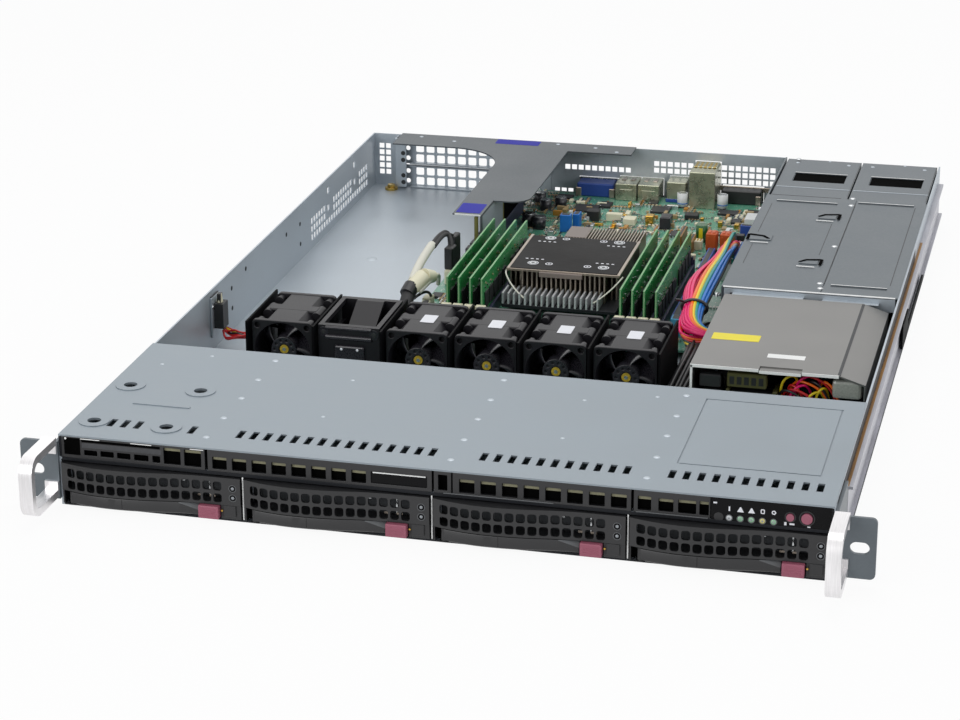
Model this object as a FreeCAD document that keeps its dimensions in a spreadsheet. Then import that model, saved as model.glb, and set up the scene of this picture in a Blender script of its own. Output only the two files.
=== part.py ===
"""One-unit rack server with its rear cover off: four drive bays in front, a row of fans,
a single-socket board in the middle and two plug-in power supplies at the rear.

Millimetres, +Z up, +Y towards the rear. The origin is the middle of the whole outline at the
level of the chassis floor's underside. Every length is measured from the front face of the
chassis box and FRONT moves it to its place."""
import FreeCAD, Part
import math
import os
import re
import Sketcher

VALUES = [
    # chassis box
    ("width", 437, "outside width of the box"),
    ("height", 43, "outside height, one rack unit less its clearance"),
    ("depth", 650, "front face to rear wall"),
    ("sheet", 1, "sheet metal of walls, floor, covers and dividers"),
    ("rear_reach", 26, "how far the power supply handles stand out behind"),
    ("grille_hole", 4, "side of a square vent hole in the rear wall"),
    ("grille_pitch", 5.25, "step of the vent holes in the rear wall"),
    ("wall_hole", 4.6, "side of a vent hole in the side wall"),
    ("wall_pitch", 6.2, "step of the vent holes in the side wall"),
    ("wall_vent_start", 479, "where the side wall vents begin"),
    ("wall_vent_floor", 6.8, "height of the lowest side wall vents"),
    ("standoff_radius", 3, "board standoff"),
    ("port_gap", 0.3, "gap round a connector in the rear wall"),
    # rack ears, handles and rails
    ("ear_reach", 22.8, "how far an ear stands out past the side wall: 482.6 over both ears"),
    ("ear_slot", 14.05, "middle of the ear slot past the side wall: 465.1 between the slots"),
    ("ear_round", 3, "rounded corner of an ear"),
    ("ear_sheet", 2, "thickness of an ear"),
    ("ear_margin", 4, "how far an ear stays inside the height, top and bottom"),
    ("ear_arm", 46, "length of the ear along the side wall"),
    ("slot_length", 10.3, "ear slot, end to end"),
    ("slot_width", 6.8, "ear slot, across"),
    ("front_reach", 39, "how far the handles stand out in front"),
    ("handle_width", 8, "handle bar, across"),
    ("handle_bar", 4.5, "handle bar, thickness"),
    ("handle_low", 5.5, "underside of the handle"),
    ("handle_high", 41.5, "top of the handle"),
    ("handle_bend", 10, "outer bend of the handle"),
    ("rail_sheet", 1.6, "thickness of a slide rail"),
    ("rail_low", 9, "lower edge of a slide rail"),
    ("rail_high", 33, "upper edge of a slide rail"),
    ("rail_start", 52, "front end of the slide rails"),
    ("left_rail_end", 449, "rear end of the left slide rail"),
    ("right_rail_end", 636, "rear end of the right slide rail"),
    # drive bays
    ("bay_count", 4, "drive bays side by side"),
    ("shelf_level", 28.1, "underside of the shelf over the drives"),
    ("cage_depth", 160, "depth of the drive cage"),
    ("cover_depth", 154, "depth of the fixed front cover"),
    ("vent_width", 3.7, "cover slot, across"),
    ("vent_length", 11.2, "cover slot, front to back"),
    ("vent_pitch", 8, "step of the cover slots"),
    ("vent_line", 17.9, "front end of the cover slots"),
    ("emboss_radius", 9, "raised pad in the cover"),
    ("emboss_rise", 0.5, "rise of the pads and depth of the sunk outline"),
    ("emboss_hole", 4, "hole radius in a raised pad"),
    ("carrier_gap", 0.6, "gap between a carrier and its bay, each side"),
    ("carrier_lift", 0.5, "gap under a carrier"),
    ("carrier_face", 7, "depth of the moulded front of a carrier"),
    ("carrier_skin", 2, "moulded wall of a carrier's front"),
    ("carrier_top", 26.6, "top of a carrier's front"),
    ("lever_room", 10, "top of the recess that holds the lever"),
    ("face_flat", 2, "how far the flat part of a carrier's front stands out"),
    ("bow_reach", 5, "how far the bow of the front stands out from its flat part"),
    ("bow_peak", 31, "peak of the bow from the carrier's left side"),
    ("bow_end", 88, "where the bow has run into the flat part"),
    ("face_inset", 4, "first vent hole from the carrier's left side"),
    ("face_hole", 5, "width of a vent hole in a carrier"),
    ("face_pitch", 6.2, "step of a carrier's vent holes, across"),
    ("face_hole_tall", 5.4, "height of a vent hole in a carrier"),
    ("face_step", 7.2, "step of the two rows of vent holes"),
    ("face_columns", 15, "columns of vent holes in a carrier"),
    ("face_rows", 2, "rows of vent holes in a carrier"),
    ("rail_tall", 18, "height of a carrier's side rails"),
    ("drive_width", 101.6, "hard drive, across"),
    ("drive_length", 147, "hard drive, front to back"),
    ("drive_height", 26.1, "hard drive, thickness"),
    ("drive_lift", 0.7, "gap under a hard drive"),
    ("plug_depth", 4.6, "drive socket on the backplane"),
    ("plug_width", 43, "drive socket, across"),
    ("backplane_top", 38, "top edge of the backplane"),
    ("board", 1.6, "thickness of the printed boards"),
    # carrier lever and release latch
    ("lever_length", 75, "pivot to free end of the lever"),
    ("lever_tall", 7.2, "height of the lever"),
    ("lever_bar", 3, "thickness of the lever"),
    ("pivot_inset", 6.5, "lever pivot from the side of the carrier"),
    ("pivot_reach", 1.6, "lever pivot in front of the box"),
    ("pivot_radius", 2, "lever knuckle"),
    ("pin_radius", 0.9, "lever pin"),
    ("pivot_ledge", 0.6, "thickness of the ledge that carries the pin"),
    ("latch_width", 12, "release latch, across"),
    ("latch_reach", 5, "how far the latch stands out in front"),
    ("moving_gap", 0.4, "gap between pieces that move on each other"),
    # upper bezel and control panel
    ("bezel_skin", 1.6, "moulded wall of the upper bezel"),
    ("bezel_hole_width", 8, "bezel opening, across"),
    ("bezel_hole_height", 6.6, "bezel opening, height"),
    ("bezel_pitch", 11.8, "step of the bezel openings"),
    ("panel_width", 64.5, "control panel, across"),
    ("panel_depth", 11, "control panel, front to back"),
    ("power_radius", 3, "power button"),
    ("reset_radius", 2.1, "reset button"),
    ("button_reach", 0.9, "how far a button stands out"),
    ("button_gap", 0.3, "gap round a button"),
    ("power_inset", 13.2, "power button from the panel's right end"),
    ("reset_inset", 22, "reset button from the panel's right end"),
    ("button_level", 34.6, "height of the button centres"),
    # fans
    ("fan_size", 40, "side of a fan"),
    ("fan_length", 56, "length of a fan"),
    ("fan_start", 215.4, "front face of the fans"),
    ("fan_first", -155, "centre of the leftmost fan"),
    ("fan_pitch", 44.1, "step of the fans"),
    ("fan_bore", 18.8, "bore radius of a fan"),
    ("fan_flange", 4, "thickness of a fan's flanges"),
    ("hub_radius", 8.6, "rotor hub"),
    ("stator_length", 6, "length of the fixed motor mount between the rotors"),
    ("strut", 1.6, "thickness of the struts that hold the motor mount"),
    ("shaft_radius", 1.5, "rotor shaft"),
    ("blade_tip", 17.8, "reach of a blade"),
    ("blade_chord", 15, "width of a blade"),
    ("blade_thick", 1, "thickness of a blade"),
    ("blade_angle", 38, "pitch of a blade"),
    ("hub_length", 22, "length of a rotor hub"),
    ("partition", 1.2, "plate between the fans"),
    # main board
    ("board_left", -102, "left edge of the main board"),
    ("board_width", 203, "main board, across"),
    ("board_front", 313, "front edge of the main board"),
    ("board_length", 330, "main board, front to back"),
    ("board_lift", 4, "height of the standoffs"),
    ("memory_length", 133.35, "memory module, long side"),
    ("memory_height", 31.25, "memory module, height"),
    ("memory_thick", 1.3, "memory module, thickness"),
    ("memory_seat", 1, "module's lower edge over the board"),
    ("memory_pitch", 7.85, "step of the memory sockets"),
    ("memory_front", 330, "front end of the modules"),
    ("memory_left", -76.7, "outermost module left of the processor"),
    ("memory_right", 40, "innermost module right of the processor"),
    ("memory_bank", 4, "modules in a bank"),
    ("socket_width", 6, "memory socket, across"),
    ("socket_height", 8.2, "memory socket, height"),
    ("socket_end", 5, "memory socket past the module, each end"),
    ("latch_height", 15, "memory socket latch over the board"),
    ("socket_gap", 0.1, "gap beside a module in its socket"),
    ("cooler_left", -45, "left side of the heatsink"),
    ("cooler_width", 78, "heatsink, across"),
    ("cooler_front", 352, "front of the heatsink"),
    ("cooler_length", 118, "heatsink, front to back"),
    ("cooler_base", 4, "heatsink base plate"),
    ("cooler_top", 36, "top of the heatsink"),
    ("plate_front", 14, "bare fins in front of the heatsink's top plate"),
    ("plate_length", 89, "heatsink top plate, front to back"),
    ("fin", 0.9, "thickness of a fin"),
    ("fin_count", 24, "fins on the heatsink"),
    ("processor_rise", 6, "socket and processor over the board"),
    # rear slots, riser and its cover
    ("slot_left", -197, "left end of the slot covers"),
    ("slot_reach", 121, "slot cover, across"),
    ("slot_tall", 17.4, "slot cover, height"),
    ("slot_pitch", 18.4, "step of the slot covers"),
    ("slot_hole", 6.2, "side of a slot cover's vent hole"),
    ("slot_hole_pitch", 8.4, "step of the slot cover's vent holes"),
    ("riser_front", 455, "front end of the riser cover's arm"),
    ("riser_sweep", 42, "inner radius of the riser cover"),
    ("riser_left", -195, "left end of the riser cover"),
    ("riser_line", -84, "right edge of the arm, where its wall folds down"),
    ("riser_arm", 21, "arm of the riser cover, across"),
    ("riser_clear", 10.4, "clear height under the riser cover's folded wall"),
    ("riser_strip", 30, "rear strip of the riser cover, front to back"),
    # power supplies and their cage
    ("supply_width", 54.5, "power supply, across"),
    ("supply_height", 40, "power supply, height"),
    ("supply_length", 220, "power supply, front to back"),
    ("supply_gap", 1.1, "gap beside a power supply"),
    ("supply_lift", 0.3, "gap under a power supply"),
    ("cage_front", 342, "front edge of the supply cage's cover"),
    ("cage_end", 551, "rear edge of the supply cage's cover"),
    ("cage_seam", 168, "seam along the supply cage's cover"),
    ("seam_depth", 0.6, "depth of the seam, and rise of the pressed tabs and beads"),
    ("cage_gap", 0.3, "gap over the power supplies"),
    ("grip_width", 30, "power supply handle, across"),
    ("grip_bar", 3, "power supply handle, bar"),
    ("grip_level", 26, "power supply handle over the floor"),
    ("tab_width", 7, "power supply latch, across"),
    ("tab_tall", 16, "power supply latch, height"),
    ("tab_reach", 13, "how far the power supply latch stands out"),
    ("hood_left", 108, "left side of the power distribution cover"),
    ("hood_right", 213, "right side of the power distribution cover"),
    ("hood_front", 200, "front edge of the power distribution cover"),
    ("hood_end", 333, "rear edge of the power distribution cover"),
    ("hood_top", 40.5, "top of the power distribution cover"),
    ("hood_ridge", 197, "ridge where the cover starts to slope"),
    ("hood_drop", 5, "drop of the slope"),
    # wiring
    ("loom_radius", 4, "bundle of power wires"),
    ("lead_radius", 2.2, "braided lead on the left of the board"),
]

doc = FreeCAD.newDocument("RackServer")
sizes = doc.addObject("Spreadsheet::Sheet", "Sizes")
NAMES = {row[0] for row in VALUES}
PIECES = []
V = FreeCAD.Vector


def fill_sheet():
    """Write one row for each driving dimension: name, number, meaning."""
    for line, (name, number, meaning) in enumerate(VALUES, start=1):
        sizes.set(f"A{line}", name)
        sizes.set(f"B{line}", str(number))
        sizes.set(f"C{line}", meaning)
        sizes.setAlias(f"B{line}", name)
    doc.recompute()


def bound(text):
    """The expression with every driving dimension pointed at the sheet."""
    return re.sub(r"[a-z][a-z_]*", lambda word: f"Sizes.{word[0]}" if word[0] in NAMES else word[0],
                  str(text))


def bind(item, prop, text):
    item.setExpression(prop, bound(text))


def value(text):
    return float(sizes.evalExpression(bound(text)))


def move(item, x="0", y="0", z="0"):
    for letter, text in zip("xyz", (x, y, z)):
        bind(item, f"Placement.Base.{letter}", text)


# Lines that many pieces share, worked out from the driving dimensions.
FRONT = "(-(depth + rear_reach - front_reach) / 2)"
INNER = "(width / 2 - sheet)"
BAY = "((width - 2 * sheet - (bay_count - 1) * sheet) / bay_count)"
BAY_PITCH = f"({BAY} + sheet)"
BAY_LEFT = f"(-{INNER})"
SHELF_TOP = "(shelf_level + sheet)"
CARRIER_LEFT = f"({BAY_LEFT} + carrier_gap)"
CARRIER_WIDTH = f"({BAY} - 2 * carrier_gap)"
CARRIER_FLOOR = "(sheet + carrier_lift)"
CARRIER_RAIL = f"(({CARRIER_WIDTH} - drive_width) / 2)"
DRIVE_FRONT = "(carrier_face + moving_gap)"
BOARD_TOP = "(sheet + board_lift + board)"
FAN_MIDDLE = "(sheet + fan_size / 2)"
BAY_WALL = f"({INNER} - 2 * supply_width - 3 * supply_gap)"


def publish(item, label, x="0", y="0", z="0"):
    """Name a finished piece and set it in its place."""
    item.Label = label
    move(item, x, f"{FRONT} + {y}", z)
    PIECES.append(item)
    return item


def span_box(name, across, along, up):
    """A block given by its two ends on X, Y and Z."""
    block = doc.addObject("Part::Box", name)
    for prop, (low, high) in zip(("Length", "Width", "Height"), (across, along, up)):
        bind(block, prop, f"({high}) - ({low})")
    move(block, across[0], along[0], up[0])
    return block


def many_sided_bar(name, sides, radius, middle, ends):
    """A prism along Y, used where a small round form may have few faces."""
    bar = doc.addObject("Part::Prism", name)
    bar.Polygon = sides
    bind(bar, "Circumradius", radius)
    bind(bar, "Height", f"({ends[1]}) - ({ends[0]})")
    bar.Placement.Rotation = FreeCAD.Rotation(V(1, 0, 0), -90) * FreeCAD.Rotation(V(0, 0, 1), 180 / sides)
    move(bar, middle[0], ends[0], middle[1])
    return bar


def cut(name, base, tool):
    result = doc.addObject("Part::Cut", name)
    result.Base = base
    result.Tool = tool
    return result


def fuse(name, shapes):
    result = doc.addObject("Part::MultiFuse", name)
    result.Shapes = shapes
    result.Refine = True
    return result


def group(name, shapes):
    """Separate solids that share one node."""
    result = doc.addObject("Part::Compound", name)
    result.Links = shapes
    return result


def copy_of(item, name):
    """A further body with the shape of a finished piece."""
    body = doc.addObject("PartDesign::Body", name)
    base = doc.addObject("PartDesign::FeatureBase", f"{name}_base")
    body.Group = [base]
    base.BaseFeature = item
    body.Tip = base
    return body


class Moulding:
    """A PartDesign body with short ways to sketch, pad, pocket, round and repeat."""

    # plane: sketch normal's sense along its axis
    PLANES = {"XY": 1, "XZ": -1, "YZ": 1}

    def __init__(self, name):
        self.name = name
        self.body = doc.addObject("PartDesign::Body", name)
        self.steps = 0

    def role(self, role):
        return next(part for part in self.body.Origin.OriginFeatures if part.Role == role)

    def label(self, kind):
        self.steps += 1
        return f"{self.name}_{kind}{self.steps}"

    def sketch(self, plane, level):
        sketch = self.body.newObject("Sketcher::SketchObject", self.label("sketch"))
        sketch.AttachmentSupport = [(self.role(f"{plane}_Plane"), "")]
        sketch.MapMode = "FlatFace"
        bind(sketch, "AttachmentOffset.Base.z", f"{self.PLANES[plane]} * ({level})")
        return sketch

    def pin_point(self, sketch, line, end, point):
        for kind, text in zip(("DistanceX", "DistanceY"), point):
            index = sketch.addConstraint(Sketcher.Constraint(kind, -1, 1, line, end, value(text)))
            bind(sketch, f"Constraints[{index}]", text)

    def outline(self, plane, level, points):
        """A closed outline of straight sides through the given points."""
        sketch = self.sketch(plane, level)
        spots = [V(value(u), value(v), 0) for u, v in points]
        lines = [sketch.addGeometry(Part.LineSegment(spot, spots[(i + 1) % len(spots)]), False)
                 for i, spot in enumerate(spots)]
        for i, line in enumerate(lines):
            sketch.addConstraint(Sketcher.Constraint("Coincident", line, 2, lines[(i + 1) % len(lines)], 1))
            self.pin_point(sketch, line, 1, points[i])
        return sketch

    def curved_outline(self, plane, level, corners):
        """A closed outline: each corner starts a straight side or, with a radius and a point
        on the way, an arc."""
        sketch = self.sketch(plane, level)
        spots = [V(value(corner[0]), value(corner[1]), 0) for corner in corners]
        sides = []
        for i, (corner, start) in enumerate(zip(corners, spots)):
            stop = spots[(i + 1) % len(spots)]
            side = Part.LineSegment(start, stop)
            if len(corner) > 2:
                side = Part.Arc(start, V(value(corner[3]), value(corner[4]), 0), stop)
            index = sketch.addGeometry(side, False)
            sides.append((index, 1 if sketch.getPoint(index, 1).isEqual(start, 1e-6) else 2))
        for i, ((index, first), corner) in enumerate(zip(sides, corners)):
            following, second = sides[(i + 1) % len(sides)]
            sketch.addConstraint(Sketcher.Constraint("Coincident", index, 3 - first, following, second))
            self.pin_point(sketch, index, first, corner[:2])
            if len(corner) > 2:
                radius = sketch.addConstraint(Sketcher.Constraint("Radius", index, value(corner[2])))
                bind(sketch, f"Constraints[{radius}]", corner[2])
        return sketch

    def circle(self, plane, level, centre, radius):
        sketch = self.sketch(plane, level)
        middle = V(value(centre[0]), value(centre[1]), 0)
        ring = sketch.addGeometry(Part.Circle(middle, V(0, 0, 1), value(radius)), False)
        self.pin_point(sketch, ring, 3, centre)
        index = sketch.addConstraint(Sketcher.Constraint("Radius", ring, value(radius)))
        bind(sketch, f"Constraints[{index}]", radius)
        return sketch

    def oblong(self, plane, level, centre, length, width):
        """A slot with round ends, its long side along the sketch's first axis."""
        sketch = self.sketch(plane, level)
        u, v = centre
        half, radius = f"(({length} - {width}) / 2)", f"({width} / 2)"
        left, right = V(value(f"{u} - {half}"), value(v), 0), V(value(f"{u} + {half}"), value(v), 0)
        rise = V(0, value(radius), 0)
        turn = Part.Circle(right, V(0, 0, 1), value(radius)), Part.Circle(left, V(0, 0, 1), value(radius))
        quarter = math.pi / 2
        arcs = [sketch.addGeometry(Part.ArcOfCircle(turn[0], -quarter, quarter), False),
                sketch.addGeometry(Part.ArcOfCircle(turn[1], quarter, 3 * quarter), False)]
        sides = [sketch.addGeometry(Part.LineSegment(right + rise, left + rise), False),
                 sketch.addGeometry(Part.LineSegment(left - rise, right - rise), False)]
        for first, end, second, start in ((arcs[0], 2, sides[0], 1), (sides[0], 2, arcs[1], 1),
                                          (arcs[1], 2, sides[1], 1), (sides[1], 2, arcs[0], 1)):
            sketch.addConstraint(Sketcher.Constraint("Tangent", first, end, second, start))
        self.pin_point(sketch, arcs[0], 3, (f"{u} + {half}", v))
        self.pin_point(sketch, arcs[1], 3, (f"{u} - {half}", v))
        index = sketch.addConstraint(Sketcher.Constraint("Radius", arcs[0], value(radius)))
        bind(sketch, f"Constraints[{index}]", radius)
        return sketch

    def feature(self, kind, sketch, reach, backwards):
        feature = self.body.newObject(f"PartDesign::{kind}", self.label(kind.lower()))
        feature.Profile = sketch
        bind(feature, "Length", reach)
        feature.Reversed = backwards
        self.body.Tip = feature
        return feature

    def pad(self, sketch, reach):
        """Add material from the sketch towards the positive side of its axis."""
        return self.feature("Pad", sketch, reach, "XZ_Plane" == sketch.AttachmentSupport[0][0].Role)

    def pocket(self, sketch, reach):
        """Remove material from the sketch towards the positive side of its axis."""
        return self.feature("Pocket", sketch, reach, "XZ_Plane" != sketch.AttachmentSupport[0][0].Role)

    def block(self, across, along, up):
        return self.pad(self.rectangle("XY", up[0], across, along), f"({up[1]}) - ({up[0]})")

    def hollow(self, across, along, up):
        return self.pocket(self.rectangle("XY", up[0], across, along), f"({up[1]}) - ({up[0]})")

    def rectangle(self, plane, level, first, second):
        (a, b), (c, d) = first, second
        return self.outline(plane, level, [(a, c), (b, c), (b, d), (a, d)])

    def repeat(self, feature, *runs):
        """Repeat a feature along one or two axes: each run is an axis, a step and a count."""
        pattern = self.body.newObject("PartDesign::LinearPattern", self.label("pattern"))
        pattern.Originals = [feature]
        for suffix, (axis, pitch, count) in zip(("", "2"), runs):
            setattr(pattern, f"Direction{suffix}", (self.role(f"{axis}_Axis"), [""]))
            setattr(pattern, f"Mode{suffix}", "Spacing")
            bind(pattern, f"Offset{suffix}", pitch)
            bind(pattern, f"Occurrences{suffix}", count)
        self.body.Tip = pattern
        return pattern

    def fillet(self, radius, chosen):
        """Round the edges of the newest feature that the test picks out."""
        doc.recompute()
        tip = self.body.Tip
        names = [f"Edge{i}" for i, edge in enumerate(tip.Shape.Edges, start=1) if chosen(edge)]
        feature = self.body.newObject("PartDesign::Fillet", self.label("fillet"))
        feature.Base = (tip, names)
        bind(feature, "Radius", radius)
        self.body.Tip = feature
        return feature


def runs_along(edge, axis):
    """Whether an edge is straight and runs along an axis."""
    ends = [vertex.Point for vertex in edge.Vertexes]
    if len(ends) < 2 or not isinstance(edge.Curve, (Part.Line, Part.LineSegment)):
        return False
    way = ends[1] - ends[0]
    others = [getattr(way, letter) for letter in "xyz" if letter != axis]
    return all(abs(part) < 1e-6 for part in others)


# ---------------------------------------------------------------- chassis sheet metal

GRILLES = [
    # left edge, lowest edge, columns, rows of the vents in the rear wall
    ("56", "18.7", "8", "4"),
    ("4", "23.95", "6", "3"),
    ("-65.2", "22.6", "10", "2"),
    ("-73.2", "3.4", "3", "2"),
    ("-214", "9.3", "2", "6"),
]


def chassis_tray():
    """Floor, side walls and rear wall, folded from one sheet."""
    tray = Moulding("chassis_tray")
    half, top = "width / 2", "height - sheet"
    profile = [(f"-{half}", "0"), (half, "0"), (half, top), (INNER, top),
               (INNER, "sheet"), (f"-{INNER}", "sheet"), (f"-{INNER}", top), (f"-{half}", top)]
    tray.pad(tray.outline("XZ", "0", profile), "depth")
    wall = tray.rectangle("XZ", "depth - sheet", (f"-{INNER}", BAY_WALL), ("sheet", top))
    tray.pad(wall, "sheet")

    def opening(across, up):
        tray.pocket(tray.rectangle("XZ", "depth - sheet", across, up), "sheet")

    opening(("slot_left + sheet", "slot_left + slot_reach - sheet"),
            ("2 * sheet", "sheet + slot_pitch + slot_tall - sheet"))
    for port in PORTS:
        opening((f"{port['left']} - port_gap", f"{port['left']} + {port['wide']} + port_gap"),
                (f"{BOARD_TOP} - port_gap", f"{BOARD_TOP} + {port['tall']} + port_gap"))
    for left, low, columns, rows in GRILLES:
        hole = tray.rectangle("XZ", "depth - sheet", (left, f"{left} + grille_hole"),
                              (low, f"{low} + grille_hole"))
        tray.repeat(tray.pocket(hole, "sheet"), ("X", "grille_pitch", columns), ("Z", "grille_pitch", rows))
    # vents low in the left wall: one long row, and three shorter ones over it in groups
    for column, row, columns, rows in ((0, 0, "24", "1"), (0, 1, "6", "3"), (9, 1, "8", "3"),
                                       (20, 1, "4", "3")):
        start = f"wall_vent_start + {column} * wall_pitch"
        low = f"wall_vent_floor + {row} * wall_pitch"
        hole = tray.rectangle("YZ", "-width / 2", (start, f"{start} + wall_hole"),
                              (low, f"{low} + wall_hole"))
        runs = [("Y", "wall_pitch", columns)]
        if rows != "1":
            runs.append(("Z", "wall_pitch", rows))
        tray.repeat(tray.pocket(hole, "sheet"), *runs)
    for column in (6.6, 17.7):
        start = f"wall_vent_start + {column} * wall_pitch"
        hole = tray.rectangle("YZ", "-width / 2", (start, f"{start} + wall_hole"), ("17", "17 + wall_hole"))
        tray.repeat(tray.pocket(hole, "sheet"), ("Z", "13.4", "2"))
    post = tray.circle("XY", "sheet", ("board_left + 12", "board_front + 12"), "standoff_radius")
    tray.repeat(tray.pad(post, "board_lift"), ("X", "(board_width - 24) / 2", "3"),
                ("Y", "(board_length - 24) / 3", "4"))
    publish(tray.body, "chassis_tray")


def front_cover():
    """Fixed cover over the drives, with cooling slots, raised pads and a sunk outline."""
    cover = Moulding("front_cover")
    level = "height - sheet"
    half = "width / 2"
    cover.block((f"-{half}", half), ("0", "cover_depth"), (level, "height"))
    cover.block((f"-{INNER} + moving_gap", f"{INNER} - moving_gap"),
                ("cover_depth - sheet", "cover_depth"), (f"{level} - 3", level))
    for left, count in (("-196.6", "3"), ("-148", "1"), ("-119.2", "15"), ("21.8", "11"), ("126.4", "11")):
        hole = cover.rectangle("XY", level, (left, f"{left} + vent_width"),
                               ("vent_line", "vent_line + vent_length"))
        vent = cover.pocket(hole, "sheet")
        if count != "1":
            cover.repeat(vent, ("X", "vent_pitch", count))
    for x in ("-205.8", "-162"):
        pad = cover.pad(cover.circle("XY", "height", (x, "23.5"), "emboss_radius"), "emboss_rise")
        cover.repeat(pad, ("Y", "58.5", "2"))
        hole = cover.pocket(cover.circle("XY", level, (x, "23.5"), "emboss_hole"), "sheet + emboss_rise")
        cover.repeat(hole, ("Y", "58.5", "2"))
    for across, along in ((("128", "207"), ("138", "139")), (("128", "207"), ("39", "40")),
                          (("128", "129"), ("40", "138")), (("206", "207"), ("40", "138"))):
        cover.hollow(across, along, ("height - emboss_rise", "height"))
    cover.block(("-194", "-159"), ("54", "56"), ("height", "height + emboss_rise"))
    publish(cover.body, "front_cover")


def drive_cage():
    """Shelf over the drives and the dividers between the bays."""
    cage = Moulding("drive_cage")
    cage.block((f"-{INNER}", INNER), ("0", "cage_depth"), ("shelf_level", SHELF_TOP))
    first = f"{BAY_LEFT} + {BAY}"
    divider = cage.block((first, f"{first} + sheet"), ("0", "cage_depth"), ("sheet", "shelf_level"))
    cage.repeat(divider, ("X", BAY_PITCH, "bay_count - 1"))
    publish(cage.body, "drive_cage")


def backplane():
    """Board behind the drives with one socket for each, and vents above them."""
    plane = Moulding("backplane")
    near, far = "cage_depth", "cage_depth + board"
    plane.block((f"-{INNER} + carrier_gap", f"{INNER} - carrier_gap"), (near, far),
                ("sheet", "backplane_top"))
    window = plane.rectangle("XZ", near, (f"{BAY_LEFT} + 52", f"{BAY_LEFT} + 102"), ("7", "24"))
    plane.repeat(plane.pocket(window, "board"), ("X", BAY_PITCH, "bay_count"))
    left = f"{CARRIER_LEFT} + {CARRIER_RAIL}"
    socket = plane.block((f"{left} + 4", f"{left} + 4 + plug_width"), (f"{near} - plug_depth", near),
                         ("4", "10.5"))
    plane.repeat(socket, ("X", BAY_PITCH, "bay_count"))
    publish(plane.body, "backplane")


def side_pair(name, label, build):
    """The right-hand piece and its mirror image on the left, in one node."""
    right = build()
    left = doc.addObject("Part::Mirroring", f"{name}_left")
    left.Source = right
    left.Normal = V(1, 0, 0)
    publish(group(name, [right, left]), label)


def rack_ears():
    """Folded ears that screw to the rack, with one slot each."""
    def build():
        ear = Moulding("ear")
        low, high = "ear_margin", "height - ear_margin"
        ear.pad(ear.rectangle("XZ", "-ear_sheet", ("width / 2", "width / 2 + ear_reach"), (low, high)),
                "ear_sheet")
        ear.fillet("ear_round",
                   lambda edge: runs_along(edge, "y") and edge.CenterOfMass.x > value("width / 2 + 1"))
        ear.block(("width / 2", "width / 2 + ear_sheet"), ("0", "ear_arm"), (low, high))
        ear.pocket(ear.oblong("XZ", "-ear_sheet", ("width / 2 + ear_slot", "height / 2"), "slot_length",
                              "slot_width"), "ear_sheet")
        return ear.body
    side_pair("ears", "rack_ears", build)


def front_handles():
    """Flat bar bent to a D and screwed to the front of each ear."""
    def build():
        grip = Moulding("grip")
        far, near = "-front_reach", "-ear_sheet"
        left, right = "width / 2 + 0.5", "width / 2 + 0.5 + handle_width"
        grip.block((left, right), (far, near), ("handle_low", "handle_high"))
        grip.fillet("handle_bend",
                    lambda edge: runs_along(edge, "x") and edge.CenterOfMass.y < value(near) - 1)
        inside = grip.rectangle("YZ", left, (f"{far} + handle_bar", near),
                                ("handle_low + handle_bar", "handle_high - handle_bar"))
        grip.pocket(inside, "handle_width")
        inner_ends = value(f"{far} + handle_bar")
        grip.fillet("handle_bend - handle_bar", lambda edge: runs_along(edge, "x")
                    and abs(edge.CenterOfMass.y - inner_ends) < 0.01 and edge.Length > 1)
        foot = grip.block((left, right), (f"{near} - 1.5", near),
                          ("handle_low + handle_bar", "handle_low + handle_bar + 5"))
        grip.repeat(foot, ("Z", "handle_high - handle_low - 2 * handle_bar - 5", "2"))
        return grip.body
    side_pair("grips", "front_handles", build)


def slide_rails():
    """Inner rails of the rack slides, hooked on the outside of both walls."""
    rails = []
    for side, end in (("left", "left_rail_end"), ("right", "right_rail_end")):
        near = "width / 2" if side == "right" else "-width / 2 - rail_sheet"
        web = span_box(f"{side}_rail_web", (near, f"{near} + rail_sheet"), ("rail_start", end),
                       ("rail_low", "rail_high"))
        lip_at = "width / 2 + rail_sheet" if side == "right" else "-width / 2 - 2.5 * rail_sheet"
        lips = [span_box(f"{side}_rail_{name}", (lip_at, f"{lip_at} + 1.5 * rail_sheet"),
                         ("rail_start", end), (low, f"{low} + rail_sheet"))
                for name, low in (("foot", "rail_low"), ("head", "rail_high - rail_sheet"))]
        rails.append(fuse(f"{side}_rail", [web, *lips]))
    publish(group("rails", rails), "slide_rails")


# ---------------------------------------------------------------- front panel

BOW_RADIUS = "((bow_peak ^ 2 + bow_reach ^ 2) / (2 * bow_reach))"
BOW_HALF = "((bow_end - bow_peak) / 2)"
BOW_EASE = f"(({BOW_HALF} ^ 2 + bow_reach ^ 2 / 4) / bow_reach)"


def bow_rising(u):
    """Depth of the bowed front at a distance from the carrier's left side, up to the peak."""
    return f"(-face_flat - bow_reach + {BOW_RADIUS} - sqrt({BOW_RADIUS} ^ 2 - (bow_peak - ({u})) ^ 2))"


def bow_falling(u):
    """The same between the peak and the middle of the fall."""
    return f"(-face_flat - bow_reach + {BOW_EASE} - sqrt({BOW_EASE} ^ 2 - (({u}) - bow_peak) ^ 2))"


def bow_easing(u):
    """The same from the middle of the fall to the flat part."""
    return f"(-face_flat - {BOW_EASE} + sqrt({BOW_EASE} ^ 2 - (bow_end - ({u})) ^ 2))"


def bow_curve(first, last, back):
    """Three arcs of the front from one distance to another, moved back by a length."""
    middle = f"(bow_peak + {BOW_HALF})"
    spans = ((first, "bow_peak", bow_rising, BOW_RADIUS), ("bow_peak", middle, bow_falling, BOW_EASE),
             (middle, last, bow_easing, BOW_EASE))
    arcs = []
    for start, stop, depth, radius in spans:
        halfway = f"(({start}) + ({stop})) / 2"
        arcs.append((f"{CARRIER_LEFT} + {start}", f"{depth(start)} + {back}", radius,
                     f"{CARRIER_LEFT} + {halfway}", f"{depth(halfway)} + {back}"))
    return arcs


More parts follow.
